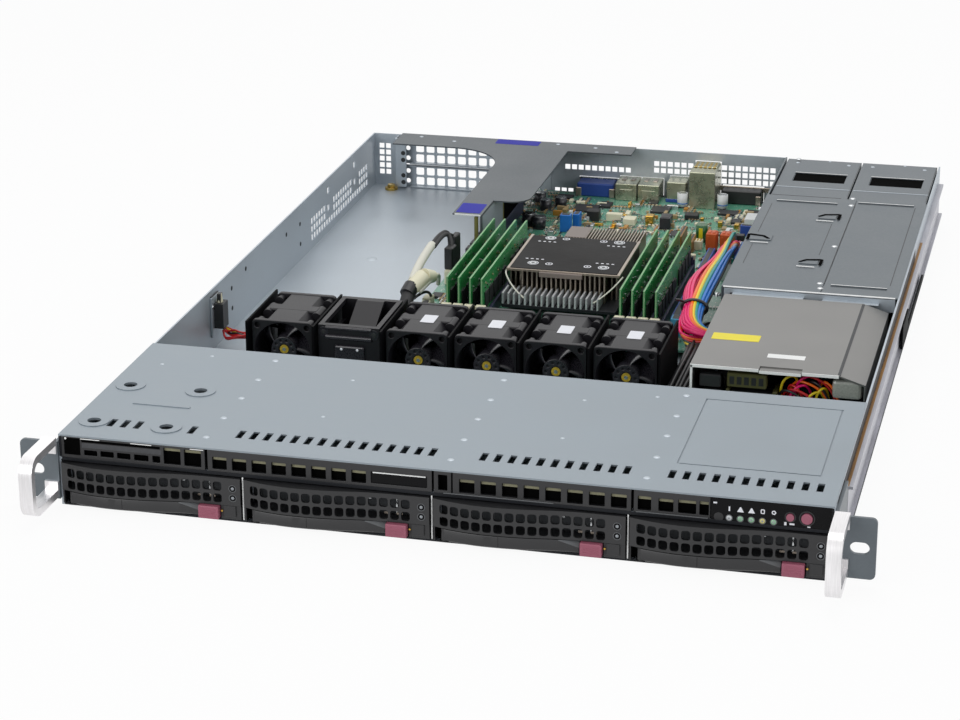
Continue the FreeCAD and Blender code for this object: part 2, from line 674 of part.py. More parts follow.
def bowed_outline(item, level, inset, back, end):
    """Plan of the carrier's front: the bow, the flat part, two sides and a straight back."""
    left, right = f"{CARRIER_LEFT} + {inset}", f"{CARRIER_LEFT} + {CARRIER_WIDTH} - {inset}"
    return item.curved_outline("XY", level, [
        *bow_curve(inset, "bow_end", back), (f"{CARRIER_LEFT} + bow_end", f"-face_flat + {back}"),
        (right, f"-face_flat + {back}"), (right, end), (left, end)])


def drive_carriers():
    """Hot-swap carrier: bowed front with a grid of vents over the lever recess, and two rails."""
    carrier = Moulding("drive_carrier_1")
    left = CARRIER_LEFT
    low = CARRIER_FLOOR
    carrier.pad(bowed_outline(carrier, low, "0", "0", "carrier_face"), f"carrier_top - {low}")
    # the hollow behind the vents follows the bow
    vents = "lever_room + 1.4"
    inside = bowed_outline(carrier, f"{vents} - 0.2", "carrier_skin", "carrier_skin", "carrier_face")
    carrier.pocket(inside, f"carrier_top - carrier_skin - ({vents} - 0.2)")
    near = "-face_flat - bow_reach"
    first = f"{left} + face_inset"
    hole = carrier.rectangle("XZ", near, (first, f"{first} + face_hole"),
                             (vents, f"{vents} + face_hole_tall"))
    carrier.repeat(carrier.pocket(hole, "face_flat + bow_reach + carrier_skin"),
                   ("X", "face_pitch", "face_columns"), ("Z", "face_step", "face_rows"))
    # the recess for the lever and the latch, open below, and the ledge with the lever's pin
    recess = f"{left} + pivot_inset - lever_bar"
    latch_right = f"{left} + pivot_inset + lever_length + latch_width + 3 * moving_gap"
    carrier.pocket(carrier.rectangle("XZ", near, (recess, latch_right), (low, "lever_room")),
                   "face_flat + bow_reach + carrier_face - carrier_skin")
    pivot = f"{left} + pivot_inset"
    carrier.block((recess, f"{pivot} + pivot_radius + moving_gap"),
                  ("-pivot_reach - pivot_radius", "carrier_face - carrier_skin"),
                  (low, f"{low} + pivot_ledge"))
    pin = carrier.circle("XY", f"{low} + pivot_ledge", (pivot, "-pivot_reach"), "pin_radius")
    carrier.pad(pin, f"lever_room - {low} - pivot_ledge")
    rail = carrier.block((left, f"{left} + {CARRIER_RAIL}"),
                         ("carrier_face", f"{DRIVE_FRONT} + drive_length - 4"), (low, f"{low} + rail_tall"))
    carrier.repeat(rail, ("X", f"{CARRIER_WIDTH} - {CARRIER_RAIL}", "2"))
    publish(carrier.body, "drive_carrier_1")
    repeat_bays(carrier.body, "drive_carrier")


def repeat_bays(item, name):
    """Copies of a piece in the other bays."""
    for bay in range(1, int(value("bay_count"))):
        publish(copy_of(item, f"{name}_{bay + 1}"), f"{name}_{bay + 1}", x=f"{bay} * {BAY_PITCH}")


def carrier_levers():
    """Lever that carries on the bow of the front, with a knuckle on a pin at its left end."""
    lever = Moulding("carrier_lever_1")
    low = f"{CARRIER_FLOOR} + pivot_ledge + button_gap"
    pivot = (f"{CARRIER_LEFT} + pivot_inset", "-pivot_reach")
    last = "(pivot_inset + lever_length)"
    front = bow_curve("pivot_inset", last, "0")
    back = bow_curve("pivot_inset", last, "lever_bar")
    # the back is the same curve from its far end to the pivot
    far = (f"{CARRIER_LEFT} + {last}", f"{bow_easing(last)} + lever_bar")
    starts = [(arc[0], arc[1]) for arc in back]
    turned = [(*start, *arc[2:]) for start, arc in zip([far, *reversed(starts[1:])], reversed(back))]
    corners = [*front, (far[0], bow_easing(last)), *turned, starts[0]]
    lever.pad(lever.curved_outline("XY", low, corners), "lever_tall")
    lever.pad(lever.circle("XY", low, pivot, "pivot_radius"), "lever_tall")
    lever.pocket(lever.circle("XY", low, pivot, "pin_radius + button_gap"), "lever_tall")
    publish(lever.body, "carrier_lever_1")
    repeat_bays(lever.body, "carrier_lever")


def carrier_latches():
    """Release latch beside the free end of the lever."""
    left = f"{CARRIER_LEFT} + pivot_inset + lever_length + 2 * moving_gap"
    latch = Moulding("carrier_latch_1")
    latch.block((left, f"{left} + latch_width"),
                ("-latch_reach", "carrier_face - carrier_skin - 1.5 - button_gap"),
                (f"{CARRIER_FLOOR} + moving_gap", "lever_room - moving_gap"))
    latch.fillet("1", lambda edge: edge.CenterOfMass.y < value("-latch_reach") + 0.01)
    publish(latch.body, "carrier_latch_1")
    repeat_bays(latch.body, "carrier_latch")


def hard_drives():
    """Plain case of a large hard drive, its edge connector facing the backplane."""
    left = f"{CARRIER_LEFT} + {CARRIER_RAIL}"
    drive = Moulding("hard_drive_1")
    drive.block((left, f"{left} + drive_width"), (DRIVE_FRONT, f"{DRIVE_FRONT} + drive_length"),
                ("sheet + drive_lift", "sheet + drive_lift + drive_height"))
    publish(drive.body, "hard_drive_1")
    repeat_bays(drive.body, "hard_drive")


def upper_bezel():
    """Moulded strip over the drive bays with a row of openings and a bare name recess."""
    bezel = Moulding("upper_bezel")
    left, right = f"-{INNER} + carrier_gap", f"{INNER} - panel_width"
    low, high = SHELF_TOP, "height - sheet"
    bezel.block((left, right), ("0", "4"), (low, high))
    bezel.pocket(bezel.rectangle("XZ", "bezel_skin", (f"{left} + bezel_skin", f"{right} - bezel_skin"),
                                 (f"{low} + bezel_skin", f"{high} - bezel_skin")), "4 - bezel_skin")
    for at, count in (("-203", "6"), ("-126", "8"), ("14", "8"), ("112", "3")):
        hole = bezel.rectangle("XZ", "0", (at, f"{at} + bezel_hole_width"),
                               (f"{low} + 2.4", f"{low} + 2.4 + bezel_hole_height"))
        bezel.repeat(bezel.pocket(hole, "bezel_skin"), ("X", "bezel_pitch", count))
    bezel.pocket(bezel.rectangle("XZ", "0", ("2.6", "8.6"), (f"{low} + 1.4", f"{high} - 2.4")),
                 "bezel_skin")
    bezel.pocket(bezel.rectangle("XZ", "0", ("-34", "-4"), (f"{low} + 2.8", f"{high} - 2.8")), "0.6")
    for seam in ("-129.6", "0.2", "10.6", "109.6"):
        bezel.pocket(bezel.rectangle("XZ", "0", (seam, f"{seam} + 0.6"), (low, high)), "0.7")
    publish(bezel.body, "upper_bezel")


def control_panel():
    """Box of the control panel with two buttons in bushed holes."""
    panel = Moulding("control_panel")
    left, right = f"{INNER} - panel_width + moving_gap", f"{INNER} - moving_gap"
    low, high = SHELF_TOP, "height - sheet"
    panel.block((left, right), ("0", "panel_depth"), (low, high))
    panel.pocket(panel.rectangle("XZ", "3", (f"{left} + bezel_skin", f"{right} - bezel_skin"),
                                 (f"{low} + bezel_skin", f"{high} - bezel_skin")), "panel_depth - 3")
    for name, inset, radius in (("power_button", "power_inset", "power_radius"),
                                ("reset_button", "reset_inset", "reset_radius")):
        centre = (f"{INNER} - {inset}", "button_level")
        panel.pocket(panel.circle("XZ", "0", centre, f"{radius} + button_gap"), "3")
        stem = many_sided_bar(f"{name}_stem", 20, radius, centre, ("-button_reach", "6"))
        collar = many_sided_bar(f"{name}_collar", 20, f"{radius} + 0.8", centre,
                                ("3 + button_gap", "4.2 + button_gap"))
        publish(fuse(name, [stem, collar]), name)
    publish(panel.body, "control_panel")


# ---------------------------------------------------------------- fans

def fans():
    """Two rotors that turn opposite ways in one square frame, five times."""
    half = "fan_size / 2"
    start, end = "fan_start", "fan_start + fan_length"
    middle = ("fan_first", FAN_MIDDLE)
    square = (f"fan_first - {half}", f"fan_first + {half}"), ("sheet", "sheet + fan_size")
    mid = f"({start} + fan_length / 2)"
    flanges = [span_box(f"fan_flange_{i}", square[0], ends, square[1]) for i, ends in enumerate((
        (start, f"{start} + fan_flange"), (f"{mid} - fan_flange",
                                           f"{mid} + fan_flange"), (f"{end} - fan_flange", end)))]
    shell = fuse("fan_shell",
                 [many_sided_bar("fan_tube", 8, f"{half} / cos(22.5 deg)", middle, (start, end)), *flanges])
    bore = many_sided_bar("fan_bore_tool", 24, "fan_bore", middle, (f"{start} - 1", f"{end} + 1"))
    open_shell = cut("fan_open_shell", shell, bore)
    hold = (f"{mid} - stator_length / 2", f"{mid} + stator_length / 2")
    mount = many_sided_bar("fan_motor_mount", 16, "hub_radius", middle, hold)
    struts = [span_box("fan_strut_across", ("fan_first - fan_bore - 0.5", "fan_first + fan_bore + 0.5"),
                       hold, (f"{FAN_MIDDLE} - strut / 2", f"{FAN_MIDDLE} + strut / 2")),
              span_box("fan_strut_up", ("fan_first - strut / 2", "fan_first + strut / 2"), hold,
                       (f"{FAN_MIDDLE} - fan_bore - 0.5", f"{FAN_MIDDLE} + fan_bore + 0.5"))]
    solid = fuse("fan_body", [open_shell, mount, *struts])
    bearing = many_sided_bar("fan_bearing", 8, "shaft_radius + 0.5", middle,
                             (f"{hold[0]} - 1", f"{hold[1]} + 1"))
    frame = cut("fan_frame_1", solid, bearing)
    front = rotor("front", f"{hold[0]} - moving_gap - hub_length", f"{hold[0]} - moving_gap",
                  f"{mid} - 0.4", 5, 1)
    rear = rotor("rear", f"{hold[1]} + moving_gap", f"{hold[1]} + moving_gap + hub_length", f"{mid} + 0.4",
                 5, -1)
    for item, name in ((frame, "fan_frame"), (front, "fan_front_rotor"), (rear, "fan_rear_rotor")):
        publish(item, f"{name}_1")
        for order, place in enumerate((2, 3, 4, 5), start=2):
            publish(copy_of(item, f"{name}_{order}"), f"{name}_{order}", x=f"{place} * fan_pitch")


def rotor(side, hub_start, hub_end, shaft_end, blades, sense):
    """Hub with flat pitched blades and a shaft that runs in the motor mount."""
    hub = many_sided_bar(f"{side}_hub", 16, "hub_radius", ("fan_first", FAN_MIDDLE), (hub_start, hub_end))
    ends = (hub_start, shaft_end) if sense > 0 else (shaft_end, hub_end)
    shaft = many_sided_bar(f"{side}_shaft", 8, "shaft_radius", ("fan_first", FAN_MIDDLE), ends)
    parts = [hub, shaft]
    for index in range(blades):
        blade = doc.addObject("Part::Box", f"{side}_blade_{index}")
        bind(blade, "Length", "blade_tip - hub_radius + 1")
        bind(blade, "Width", "blade_chord")
        bind(blade, "Height", "blade_thick")
        turn = FreeCAD.Rotation(V(0, 1, 0), 360 * index / blades)
        pitch = FreeCAD.Rotation(V(1, 0, 0), 90 - sense * (90 - value("blade_angle")))
        offset = V(value("hub_radius") - 1, -value("blade_chord") / 2, -value("blade_thick") / 2)
        turned = turn.multVec(pitch.multVec(offset))
        blade.Placement.Rotation = turn * pitch
        hub_middle = f"(({hub_start}) + ({hub_end})) / 2"
        move(blade, f"fan_first + {turned.x}", f"{hub_middle} + {turned.y}", f"{FAN_MIDDLE} + {turned.z}")
        parts.append(blade)
    return fuse(f"fan_{side}_rotor_1", parts)


def fan_blank():
    """Open dummy that fills the second fan place, with a slanted web across its top."""
    half = "fan_size / 2"
    middle = "(fan_first + fan_pitch)"
    blank = Moulding("fan_blank")
    across = (f"{middle} - {half}", f"{middle} + {half}")
    start, end = "fan_start", "fan_start + fan_length"
    top = "sheet + fan_size"
    blank.block(across, (start, end), ("sheet", top))
    blank.hollow((f"{middle} - {half} + 3", f"{middle} + {half} - 3"),
                 (f"{start} + fan_flange", f"{end} - fan_flange"), ("3 * sheet", top))
    for side in ("-", "+"):
        low = f"{middle} - {half}" if side == "-" else f"{middle} + {half} - 3"
        blank.hollow((low, f"{low} + 3"), (f"{start} + fan_flange", f"{end} - fan_flange"),
                     (f"{top} - 14", f"{top} - 3"))
    web = blank.outline("YZ", f"{middle} - 9", [
        (f"{start} + fan_flange", "18"), (f"{start} + fan_flange + 2", "18"),
        (f"{end} - fan_flange", f"{top} - 2"),
        (f"{end} - fan_flange", top), (f"{end} - fan_flange - 2", top)])
    blank.pad(web, "18")
    publish(blank.body, "fan_blank")


def fan_partitions():
    """Plates that stand on the floor between the fans."""
    plates = Moulding("fan_partitions")
    left = "fan_first - fan_pitch / 2 - partition / 2"
    plates.block((left, f"{left} + 6 * fan_pitch + partition"), ("fan_start - 5", "fan_start - 3"),
                 ("sheet", "sheet + 3"))
    plate = plates.block((left, f"{left} + partition"), ("fan_start - 5", "fan_start + fan_length + 3"),
                         ("sheet", "height - 2 * sheet"))
    plates.repeat(plate, ("X", "fan_pitch", "7"))
    publish(plates.body, "fan_partitions")


# ---------------------------------------------------------------- main board

PORTS = [
    {"name": "display_port", "left": "-53.5", "wide": "30.5", "tall": "11", "deep": "18"},
    {"name": "network_port_1", "left": "-21.8", "wide": "16.4", "tall": "13.2", "deep": "22"},
    {"name": "network_port_2", "left": "-4.6", "wide": "16.4", "tall": "13.2", "deep": "22"},
    {"name": "usb_ports", "left": "17", "wide": "14.6", "tall": "15.6", "deep": "18"},
    {"name": "tall_port_stack", "left": "36", "wide": "19.6", "tall": "29", "deep": "30"},
    {"name": "serial_port", "left": "57.4", "wide": "31", "tall": "11.4", "deep": "14"},
]

BOARD_PARTS = [
    # name, left, front, width, depth, height
    ("processor_socket", "-40", "372", "68", "76", "processor_rise"),
    ("supply_socket", "86.5", "457", "10.5", "54", "12"),
    ("storage_socket_1", "68.1", "511.5", "5", "9", "16"),
    ("storage_socket_2", "78.3", "511.5", "5", "9", "16"),
    ("chipset", "34", "520", "26", "26", "3"),
    ("controller", "-30", "565", "18", "18", "2"),
    ("regulator_row", "-44", "484", "72", "12", "6"),
    ("fan_headers", "-98", "325", "8", "40", "8"),
    ("riser_socket", "-92", "492", "8", "88", "10"),
    ("sensor_header", "-101", "437", "6", "6", "6"),
]


def motherboard():
    """Main board with the parts that stand out on it."""
    right = "board_left + board_width"
    low = "sheet + board_lift"
    solids = [span_box("main_board", ("board_left", right), ("board_front", "board_front + board_length"),
                       (low, f"{low} + board"))]
    for name, left, front, wide, deep, tall in BOARD_PARTS:
        solids.append(span_box(name, (left, f"{left} + {wide}"), (front, f"{front} + {deep}"),
                               (BOARD_TOP, f"{BOARD_TOP} + {tall}")))
    publish(group("main_board_parts", solids), "motherboard")


def heatsink():
    """Base, a comb of upright fins and the plate that closes them."""
    sink = Moulding("heatsink")
    left, right = "cooler_left", "cooler_left + cooler_width"
    front, end = "cooler_front", "cooler_front + cooler_length"
    low = f"{BOARD_TOP} + processor_rise"
    sink.block((left, right), (front, end), (low, f"{low} + cooler_base"))
    fin = sink.block((left, f"{left} + fin"), (front, end), (f"{low} + cooler_base", "cooler_top - 1.5"))
    sink.repeat(fin, ("X", "(cooler_width - fin) / (fin_count - 1)", "fin_count"))
    plate = f"{front} + plate_front"
    sink.block((left, right), (plate, f"{plate} + plate_length"), ("cooler_top - 1.5", "cooler_top"))
    publish(sink.body, "heatsink")


def memory():
    """Two banks of modules, each in a socket with a latch at both ends."""
    modules, sockets = [], []
    for bank, first in (("left", "memory_left"), ("right", "memory_right")):
        for place in range(int(value("memory_bank"))):
            name = f"{bank}_{place + 1}"
            middle = f"({first} + {place} * memory_pitch)"
            end = "memory_front + memory_length"
            low = f"({BOARD_TOP} + memory_seat)"
            module = span_box(f"memory_{name}",
                              (f"{middle} - memory_thick / 2", f"{middle} + memory_thick / 2"),
                              ("memory_front", end), (low, f"{low} + memory_height"))
            across = (f"{middle} - socket_width / 2", f"{middle} + socket_width / 2")
            bar = span_box(f"socket_bar_{name}", across,
                           ("memory_front - socket_end", f"{end} + socket_end"),
                           (BOARD_TOP, f"{BOARD_TOP} + socket_height"))
            latches = [span_box(f"socket_latch_{name}_{i}", across, ends,
                                (f"{BOARD_TOP} + socket_height", f"{BOARD_TOP} + latch_height"))
                       for i, ends in enumerate((("memory_front - socket_end", "memory_front - 1"),
                                                 (f"{end} + 1", f"{end} + socket_end")))]
            slot = span_box(f"socket_slot_{name}", (f"{middle} - memory_thick / 2 - socket_gap",
                                                    f"{middle} + memory_thick / 2 + socket_gap"),
                            ("memory_front - socket_gap", f"{end} + socket_gap"),
                            (low, f"{BOARD_TOP} + socket_height + 1"))
            modules.append(module)
            sockets.append(cut(f"socket_{name}", fuse(f"socket_whole_{name}", [bar, *latches]), slot))
    publish(group("modules", modules), "memory_modules")
    publish(group("sockets", sockets), "memory_sockets")


def rear_ports():
    """Connectors on the rear edge of the main board, each through its own opening."""
    solids = []
    for port in PORTS:
        solids.append(span_box(port["name"], (port["left"], f"{port['left']} + {port['wide']}"),
                               (f"depth - {port['deep']}", "depth"),
                               (BOARD_TOP, f"{BOARD_TOP} + {port['tall']}")))
    publish(group("ports", solids), "rear_ports")


def riser():
    """Cover over the rear slots with an arm that holds the riser card."""
    level = "height - sheet"
    cover = Moulding("riser_cover")
    right_end, line, arm = "-10", "riser_line", "riser_line - riser_arm"
    strip = "depth - riser_strip"
    cover.pad(cover.outline("XY", level, [
        ("riser_left", "depth"), ("riser_left", strip), (arm, strip), (arm, "riser_front"),
        (line, "riser_front"),
        (line, "491"), ("-59", "491"), ("-59", "628"), (right_end, "628"), (right_end, "depth")]), "sheet")
    corner = V(value(arm), value(strip), value(level))
    cover.fillet("riser_sweep",
                 lambda edge: runs_along(edge, "z") and abs(edge.CenterOfMass.x - corner.x) < 0.1
                 and abs(edge.CenterOfMass.y - corner.y) < 0.1)
    cover.fillet("14",
                 lambda edge: runs_along(edge, "z") and abs(edge.CenterOfMass.x + 59) < 0.1
                 and edge.CenterOfMass.y < 500)
    cover.block((f"{line} - sheet", line), ("riser_front", "628"), (f"{BOARD_TOP} + riser_clear", level))
    card = span_box("riser_board", (f"{line} - sheet - board - 2", f"{line} - sheet - 2"), ("494", "578"),
                    (f"{BOARD_TOP} + 10", f"{level} - 1"))
    spacer = span_box("riser_spacer", (f"{line} - sheet - 2", f"{line} - sheet"), ("530", "540"),
                      ("26", "34"))
    publish(group("riser", [cover.body, fuse("riser_card", [card, spacer])]), "riser_bracket")


def slot_covers():
    """Two perforated covers over the empty card slots."""
    left, right = "slot_left", "slot_left + slot_reach"
    cover = Moulding("slot_cover")
    near = "depth - 2 * sheet"
    cover.pad(cover.rectangle("XZ", near, (left, right), ("sheet", "sheet + slot_tall")), "sheet")
    hole = cover.rectangle("XZ", near, (f"{left} + 13", f"{left} + 13 + slot_hole"),
                           ("sheet + 1.6", "sheet + 1.6 + slot_hole"))
    cover.repeat(cover.pocket(hole, "sheet"), ("X", "slot_hole_pitch", "12"), ("Z", "slot_hole + 1.8", "2"))
    upper = copy_of(cover.body, "upper_slot_cover")
    move(upper, z="slot_pitch")
    publish(group("slot_cover_pair", [cover.body, upper]), "slot_covers")


# ---------------------------------------------------------------- power

def supply_cage():
    """Wall and cover that guide the power supplies."""
    cage = Moulding("supply_cage")
    top = "sheet + supply_lift + supply_height + cage_gap"
    cage.block((f"{BAY_WALL} - sheet", BAY_WALL), ("cage_front", "depth - sheet"),
               ("sheet", f"{top} + sheet"))
    cage.block((BAY_WALL, INNER), ("cage_front", "cage_end"), (top, f"{top} + sheet"))
    face = f"{top} + sheet"
    pressed = [(("106", "122"), ("443", "455")), (("147", "159"), ("398", "406")),
               (("147", "159"), ("500", "508.5")),
               (("113", "156"), ("537", "539")), (("cage_seam + 2", "209"), ("543", "545")),
               (("cage_seam + 5", "209"), ("358", "360"))]
    for across, along in pressed:
        cage.block(across, along, (face, f"{face} + seam_depth"))
    cage.hollow(("cage_seam", "cage_seam + 0.8"), ("cage_front", "cage_end"),
                (f"{face} - seam_depth", face))
    publish(cage.body, "supply_cage")


def power_supplies():
    """Plug-in supply with a wire grip and a side latch at its rear."""
    left = f"({BAY_WALL} + supply_gap)"
    low = "(sheet + supply_lift)"
    start = "(depth - supply_length)"
    supply = Moulding("power_supply_1")
    right, top = f"{left} + supply_width", f"{low} + supply_height"
    supply.block((left, right), (start, "depth"), (low, top))
    supply.hollow((f"{left} + 9.8", f"{left} + 48"), ("depth - 57", "depth - 34"), (f"{top} - 0.8", top))
    supply.pocket(supply.rectangle("XZ", "depth - 12", (f"{left} + 3", f"{left} + 3 + 28"),
                                   (f"{low} + 2", f"{low} + 21")), "12")
    supply.block((f"{left} + 20", f"{left} + 44"), (f"{start} - 8", start),
                 (f"{low} + 8", f"{low} + 8 + board"))
    grip_left = f"{left} + 10"
    grip = supply.block((grip_left, f"{grip_left} + grip_bar"), ("depth", "depth + rear_reach"),
                        ("grip_level", "grip_level + grip_bar"))
    supply.repeat(grip, ("X", "grip_width - grip_bar", "2"))
    supply.block((grip_left, f"{grip_left} + grip_width"),
                 ("depth + rear_reach - grip_bar", "depth + rear_reach"),
                 ("grip_level", "grip_level + grip_bar"))
    tab_left = f"{left} + supply_width - tab_width - 3"
    supply.hollow((f"{tab_left} - 3", f"{tab_left} + tab_width + 0.6"), ("depth - 5", "depth"),
                  (f"{low} + 6 - moving_gap", f"{low} + 6 + tab_tall + moving_gap"))
    publish(supply.body, "power_supply_1")
    step = "supply_width + supply_gap"
    publish(copy_of(supply.body, "power_supply_2"), "power_supply_2", x=step)
    tab = Moulding("supply_latch_1")
    tab.block((tab_left, f"{tab_left} + 2"), ("depth - 5", "depth + tab_reach"),
              (f"{low} + 6", f"{low} + 6 + tab_tall"))
    tab.block((tab_left, f"{tab_left} + tab_width"), ("depth - 5", "depth - 2"),
              (f"{low} + 6", f"{low} + 6 + tab_tall"))
    publish(tab.body, "supply_latch_1")
    publish(copy_of(tab.body, "supply_latch_2"), "supply_latch_2", x=step)


def power_distributor():
    """Boards that join the two supplies to the wiring."""
    low = "sheet + 3"
    flat = span_box("distribution_board", ("hood_left + 4", "hood_right - 4"),
                    ("hood_front + 6", "depth - supply_length - 12"), (low, f"{low} + board"))
    upright = span_box("supply_backplane", (f"{BAY_WALL} + 2", f"{INNER} - 2"),
                       ("depth - supply_length - 12", "depth - supply_length - 12 + board"),
                       ("sheet", "38"))
    solids = [flat, upright]
    blocks = (("116", "212", "18", "10", "14"), ("140", "212", "24", "10", "14"),
              ("172", "216", "14", "14", "20"), ("126", "250", "60", "60", "28"))
    for index, (x, y, wide, deep, tall) in enumerate(blocks):
        solids.append(span_box(f"distribution_part_{index}", (x, f"{x} + {wide}"), (y, f"{y} + {deep}"),
                               (f"{low} + board", f"{low} + board + {tall}")))
    posts = [span_box(f"distribution_post_{x}_{y}", (x, f"{x} + 5"), (y, f"{y} + 5"), ("sheet", low))
             for x in ("114", "200") for y in ("210", "320", "400")]
    publish(group("distribution", [*solids, *posts]), "power_distributor")


def power_cover():
    """Folded hood over the distribution board, sloping down at its right side."""
    hood = Moulding("power_cover")
    top, low = "hood_top", "sheet"
    slope = "hood_top - hood_drop"
    hood.pad(hood.outline("XZ", "hood_front", [
        ("hood_left", low), ("hood_left + sheet", low), ("hood_left + sheet", f"{top} - sheet"),
        ("hood_ridge", f"{top} - sheet"), ("hood_right - sheet", f"{slope} - sheet"),
        ("hood_right - sheet", low), ("hood_right", low), ("hood_right", slope),
        ("hood_ridge", top), ("hood_left", top)]), "hood_end - hood_front")
    hood.hollow(("151", "174"), ("221.5", "225.5"), (f"{top} - sheet - 1", f"{top} + 1"))
    hood.hollow(("149.4", "174.8"), ("hood_front", "hood_front + 6"), (f"{top} - sheet - 1", f"{top} + 1"))
    hood.hollow(("hood_left", "hood_left + sheet"), ("296", "310"), ("21", "35"))
    publish(hood.body, "power_cover")


# ---------------------------------------------------------------- wiring and small parts

LEAD_SIDES = 10


def tube(name, radius, points):
    """A lead of straight runs joined by tangent arcs as large as the runs allow. Its section
    has LEAD_SIDES corners, which are carried round each arc so that the runs meet corner to corner."""
    spots = [V(*point) for point in points]
    way = (spots[1] - spots[0]).normalize()
    first = way.cross(V(1, 0, 0)).normalize() * radius
    rim = [FreeCAD.Rotation(way, 360 * i / LEAD_SIDES).multVec(first) for i in range(LEAD_SIDES)]
    runs, at = [], spots[0]

    def section(centre):
        corners = [centre + arm for arm in rim]
        return Part.Face(Part.makePolygon(corners + corners[:1]))

    for before, corner, after in zip(spots, spots[1:], spots[2:]):
        back, on = before - corner, after - corner
        reach = 0.45 * min(back.Length, on.Length)
        back.normalize()
        on.normalize()
        turn = math.pi - back.getAngle(on)
        bend = reach / math.tan(turn / 2)
        start = corner + back * reach
        hinge = corner + (back + on).normalize() * (bend / math.cos(turn / 2))
        runs.append(section(at).extrude(start - at))
        axis = on.cross(back).normalize()
        runs.append(section(start).revolve(hinge, axis, math.degrees(turn)))
        swing = FreeCAD.Rotation(axis, math.degrees(turn))
        rim = [swing.multVec(arm) for arm in rim]
        print(f"{name}: bend radius {bend:.0f}")
        at = corner + on * reach
    runs.append(section(at).extrude(spots[-1] - at))
    whole = runs[0].fuse(runs[1:]).removeSplitter()
    length = sum(run.Volume for run in runs) / section(at).Area
    print(f"{name}: {length:.0f} long, volume "
          f"{whole.Volume / sum(run.Volume for run in runs):.4f} of its runs")
    lead = doc.addObject("Part::Feature", name)
    lead.Shape = whole
    return lead


def wiring():
    """Power loom from the main board to the distribution board, and the braided lead on the left."""
    loom = tube("power_loom", value("loom_radius"), [
        (92, 492, 18.6), (92, 492, 26), (91, 482, 32.5), (89, 458, 36), (85, 420, 37),
        (82, 376, 35.5), (85, 336, 32.5), (92, 313, 30), (107, 303, 28), (126, 303, 28)])
    lead = tube("side_lead", value("lead_radius"), [
        (-94, 350, 14.6), (-94, 350, 22), (-95, 358, 29), (-99, 388, 33),
        (-99, 420, 30), (-98, 436, 26), (-98, 440, 20), (-98, 440, 12.6)])
    publish(group("leads", [loom, lead]), "wiring")


def intrusion_switch():
    """Small lid switch on a bracket on the left wall."""
    wall = f"-{INNER}"
    bracket = span_box("switch_bracket", (wall, f"{wall} + 1.2"), ("257", "271"), ("10", "38"))
    case = span_box("switch_case", (f"{wall} + 1.2", f"{wall} + 8"), ("259", "269"), ("16", "33"))
    plunger = span_box("switch_plunger", (f"{wall} + 3", f"{wall} + 5.5"), ("262", "266"), ("33", "39"))
    publish(fuse("lid_switch", [bracket, case, plunger]), "intrusion_switch")


def check_and_write():
    """Stop on a failed object or a bad shape, then write every piece."""
    doc.recompute()
    failed = [item.Name for item in doc.Objects if "Invalid" in item.State or "Error" in item.State]
    if failed:
        raise RuntimeError(f"these objects failed: {failed}")
    for item in PIECES:
        if item.Shape.isNull() or not item.Shape.isValid() or not item.Shape.Solids:
            raise RuntimeError(f"{item.Label} has no valid solid")
    os.makedirs("parts", exist_ok=True)
    for item in PIECES:
        item.Shape.exportStep(f"parts/{item.Label}.step")
        print(f"{item.Label}: {len(item.Shape.Solids)} solid(s), {item.Shape.Volume:.0f} mm3")


fill_sheet()
chassis_tray()
front_cover()
drive_cage()
backplane()
rack_ears()
front_handles()
slide_rails()
drive_carriers()
carrier_levers()
carrier_latches()
hard_drives()
upper_bezel()
control_panel()
fans()
fan_blank()
fan_partitions()
motherboard()
heatsink()
memory()
rear_ports()
riser()
slot_covers()
supply_cage()
power_supplies()
power_distributor()
power_cover()
wiring()
intrusion_switch()
check_and_write()
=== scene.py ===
"""Looks of an open one-unit rack server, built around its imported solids.

Lengths are written in millimetres from the front face of the chassis box: x to the right, y to the
rear, z up from the underside. here() turns them into metres in the model's own frame."""
import math
import random
import bmesh
import bpy
from mathutils import Matrix, Vector


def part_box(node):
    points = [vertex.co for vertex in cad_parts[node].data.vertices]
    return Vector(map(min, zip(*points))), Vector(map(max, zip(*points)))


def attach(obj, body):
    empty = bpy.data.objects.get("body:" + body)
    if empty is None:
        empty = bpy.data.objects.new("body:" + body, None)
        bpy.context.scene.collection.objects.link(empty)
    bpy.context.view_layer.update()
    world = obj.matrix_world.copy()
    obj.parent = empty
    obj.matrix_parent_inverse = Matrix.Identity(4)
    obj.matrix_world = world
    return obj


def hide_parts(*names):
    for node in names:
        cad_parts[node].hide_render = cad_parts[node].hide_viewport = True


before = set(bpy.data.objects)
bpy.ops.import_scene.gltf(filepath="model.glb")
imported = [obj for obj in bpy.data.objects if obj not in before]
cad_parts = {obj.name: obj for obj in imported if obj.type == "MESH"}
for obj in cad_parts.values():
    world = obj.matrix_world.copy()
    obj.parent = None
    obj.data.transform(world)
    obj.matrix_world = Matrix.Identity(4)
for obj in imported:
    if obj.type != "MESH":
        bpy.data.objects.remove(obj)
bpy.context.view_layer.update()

bl_info = {
    "name": "Rack server looks",
    "version": (1, 0, 0),
    "blender": (4, 5, 0),
    "location": "View3D > Sidebar > Rack server",
    "description": "Dresses the solids of an open rack server with its visible detail",
    "category": "Object",
}

MM = 0.001
TRAY_LOW, TRAY_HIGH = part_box("chassis_tray")
FRONT = TRAY_LOW[1]
MATERIALS = {}


def here(x, y, z):
    """Millimetres from the middle of the chassis's front edge, as a point of the frame."""
    return Vector((x * MM, FRONT + y * MM, z * MM))


def extent(node):
    """A node's box as (x, y, z) low and high in millimetres from the front edge."""
    low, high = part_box(node)
    shift = Vector((0, FRONT, 0))
    return (Vector(low) - shift) / MM, (Vector(high) - shift) / MM


# ------------------------------------------------------------------ sizes and colours

def length_property(name, description, default):
    return bpy.props.FloatProperty(name=name, description=description, default=default * MM, unit="LENGTH", min=0)


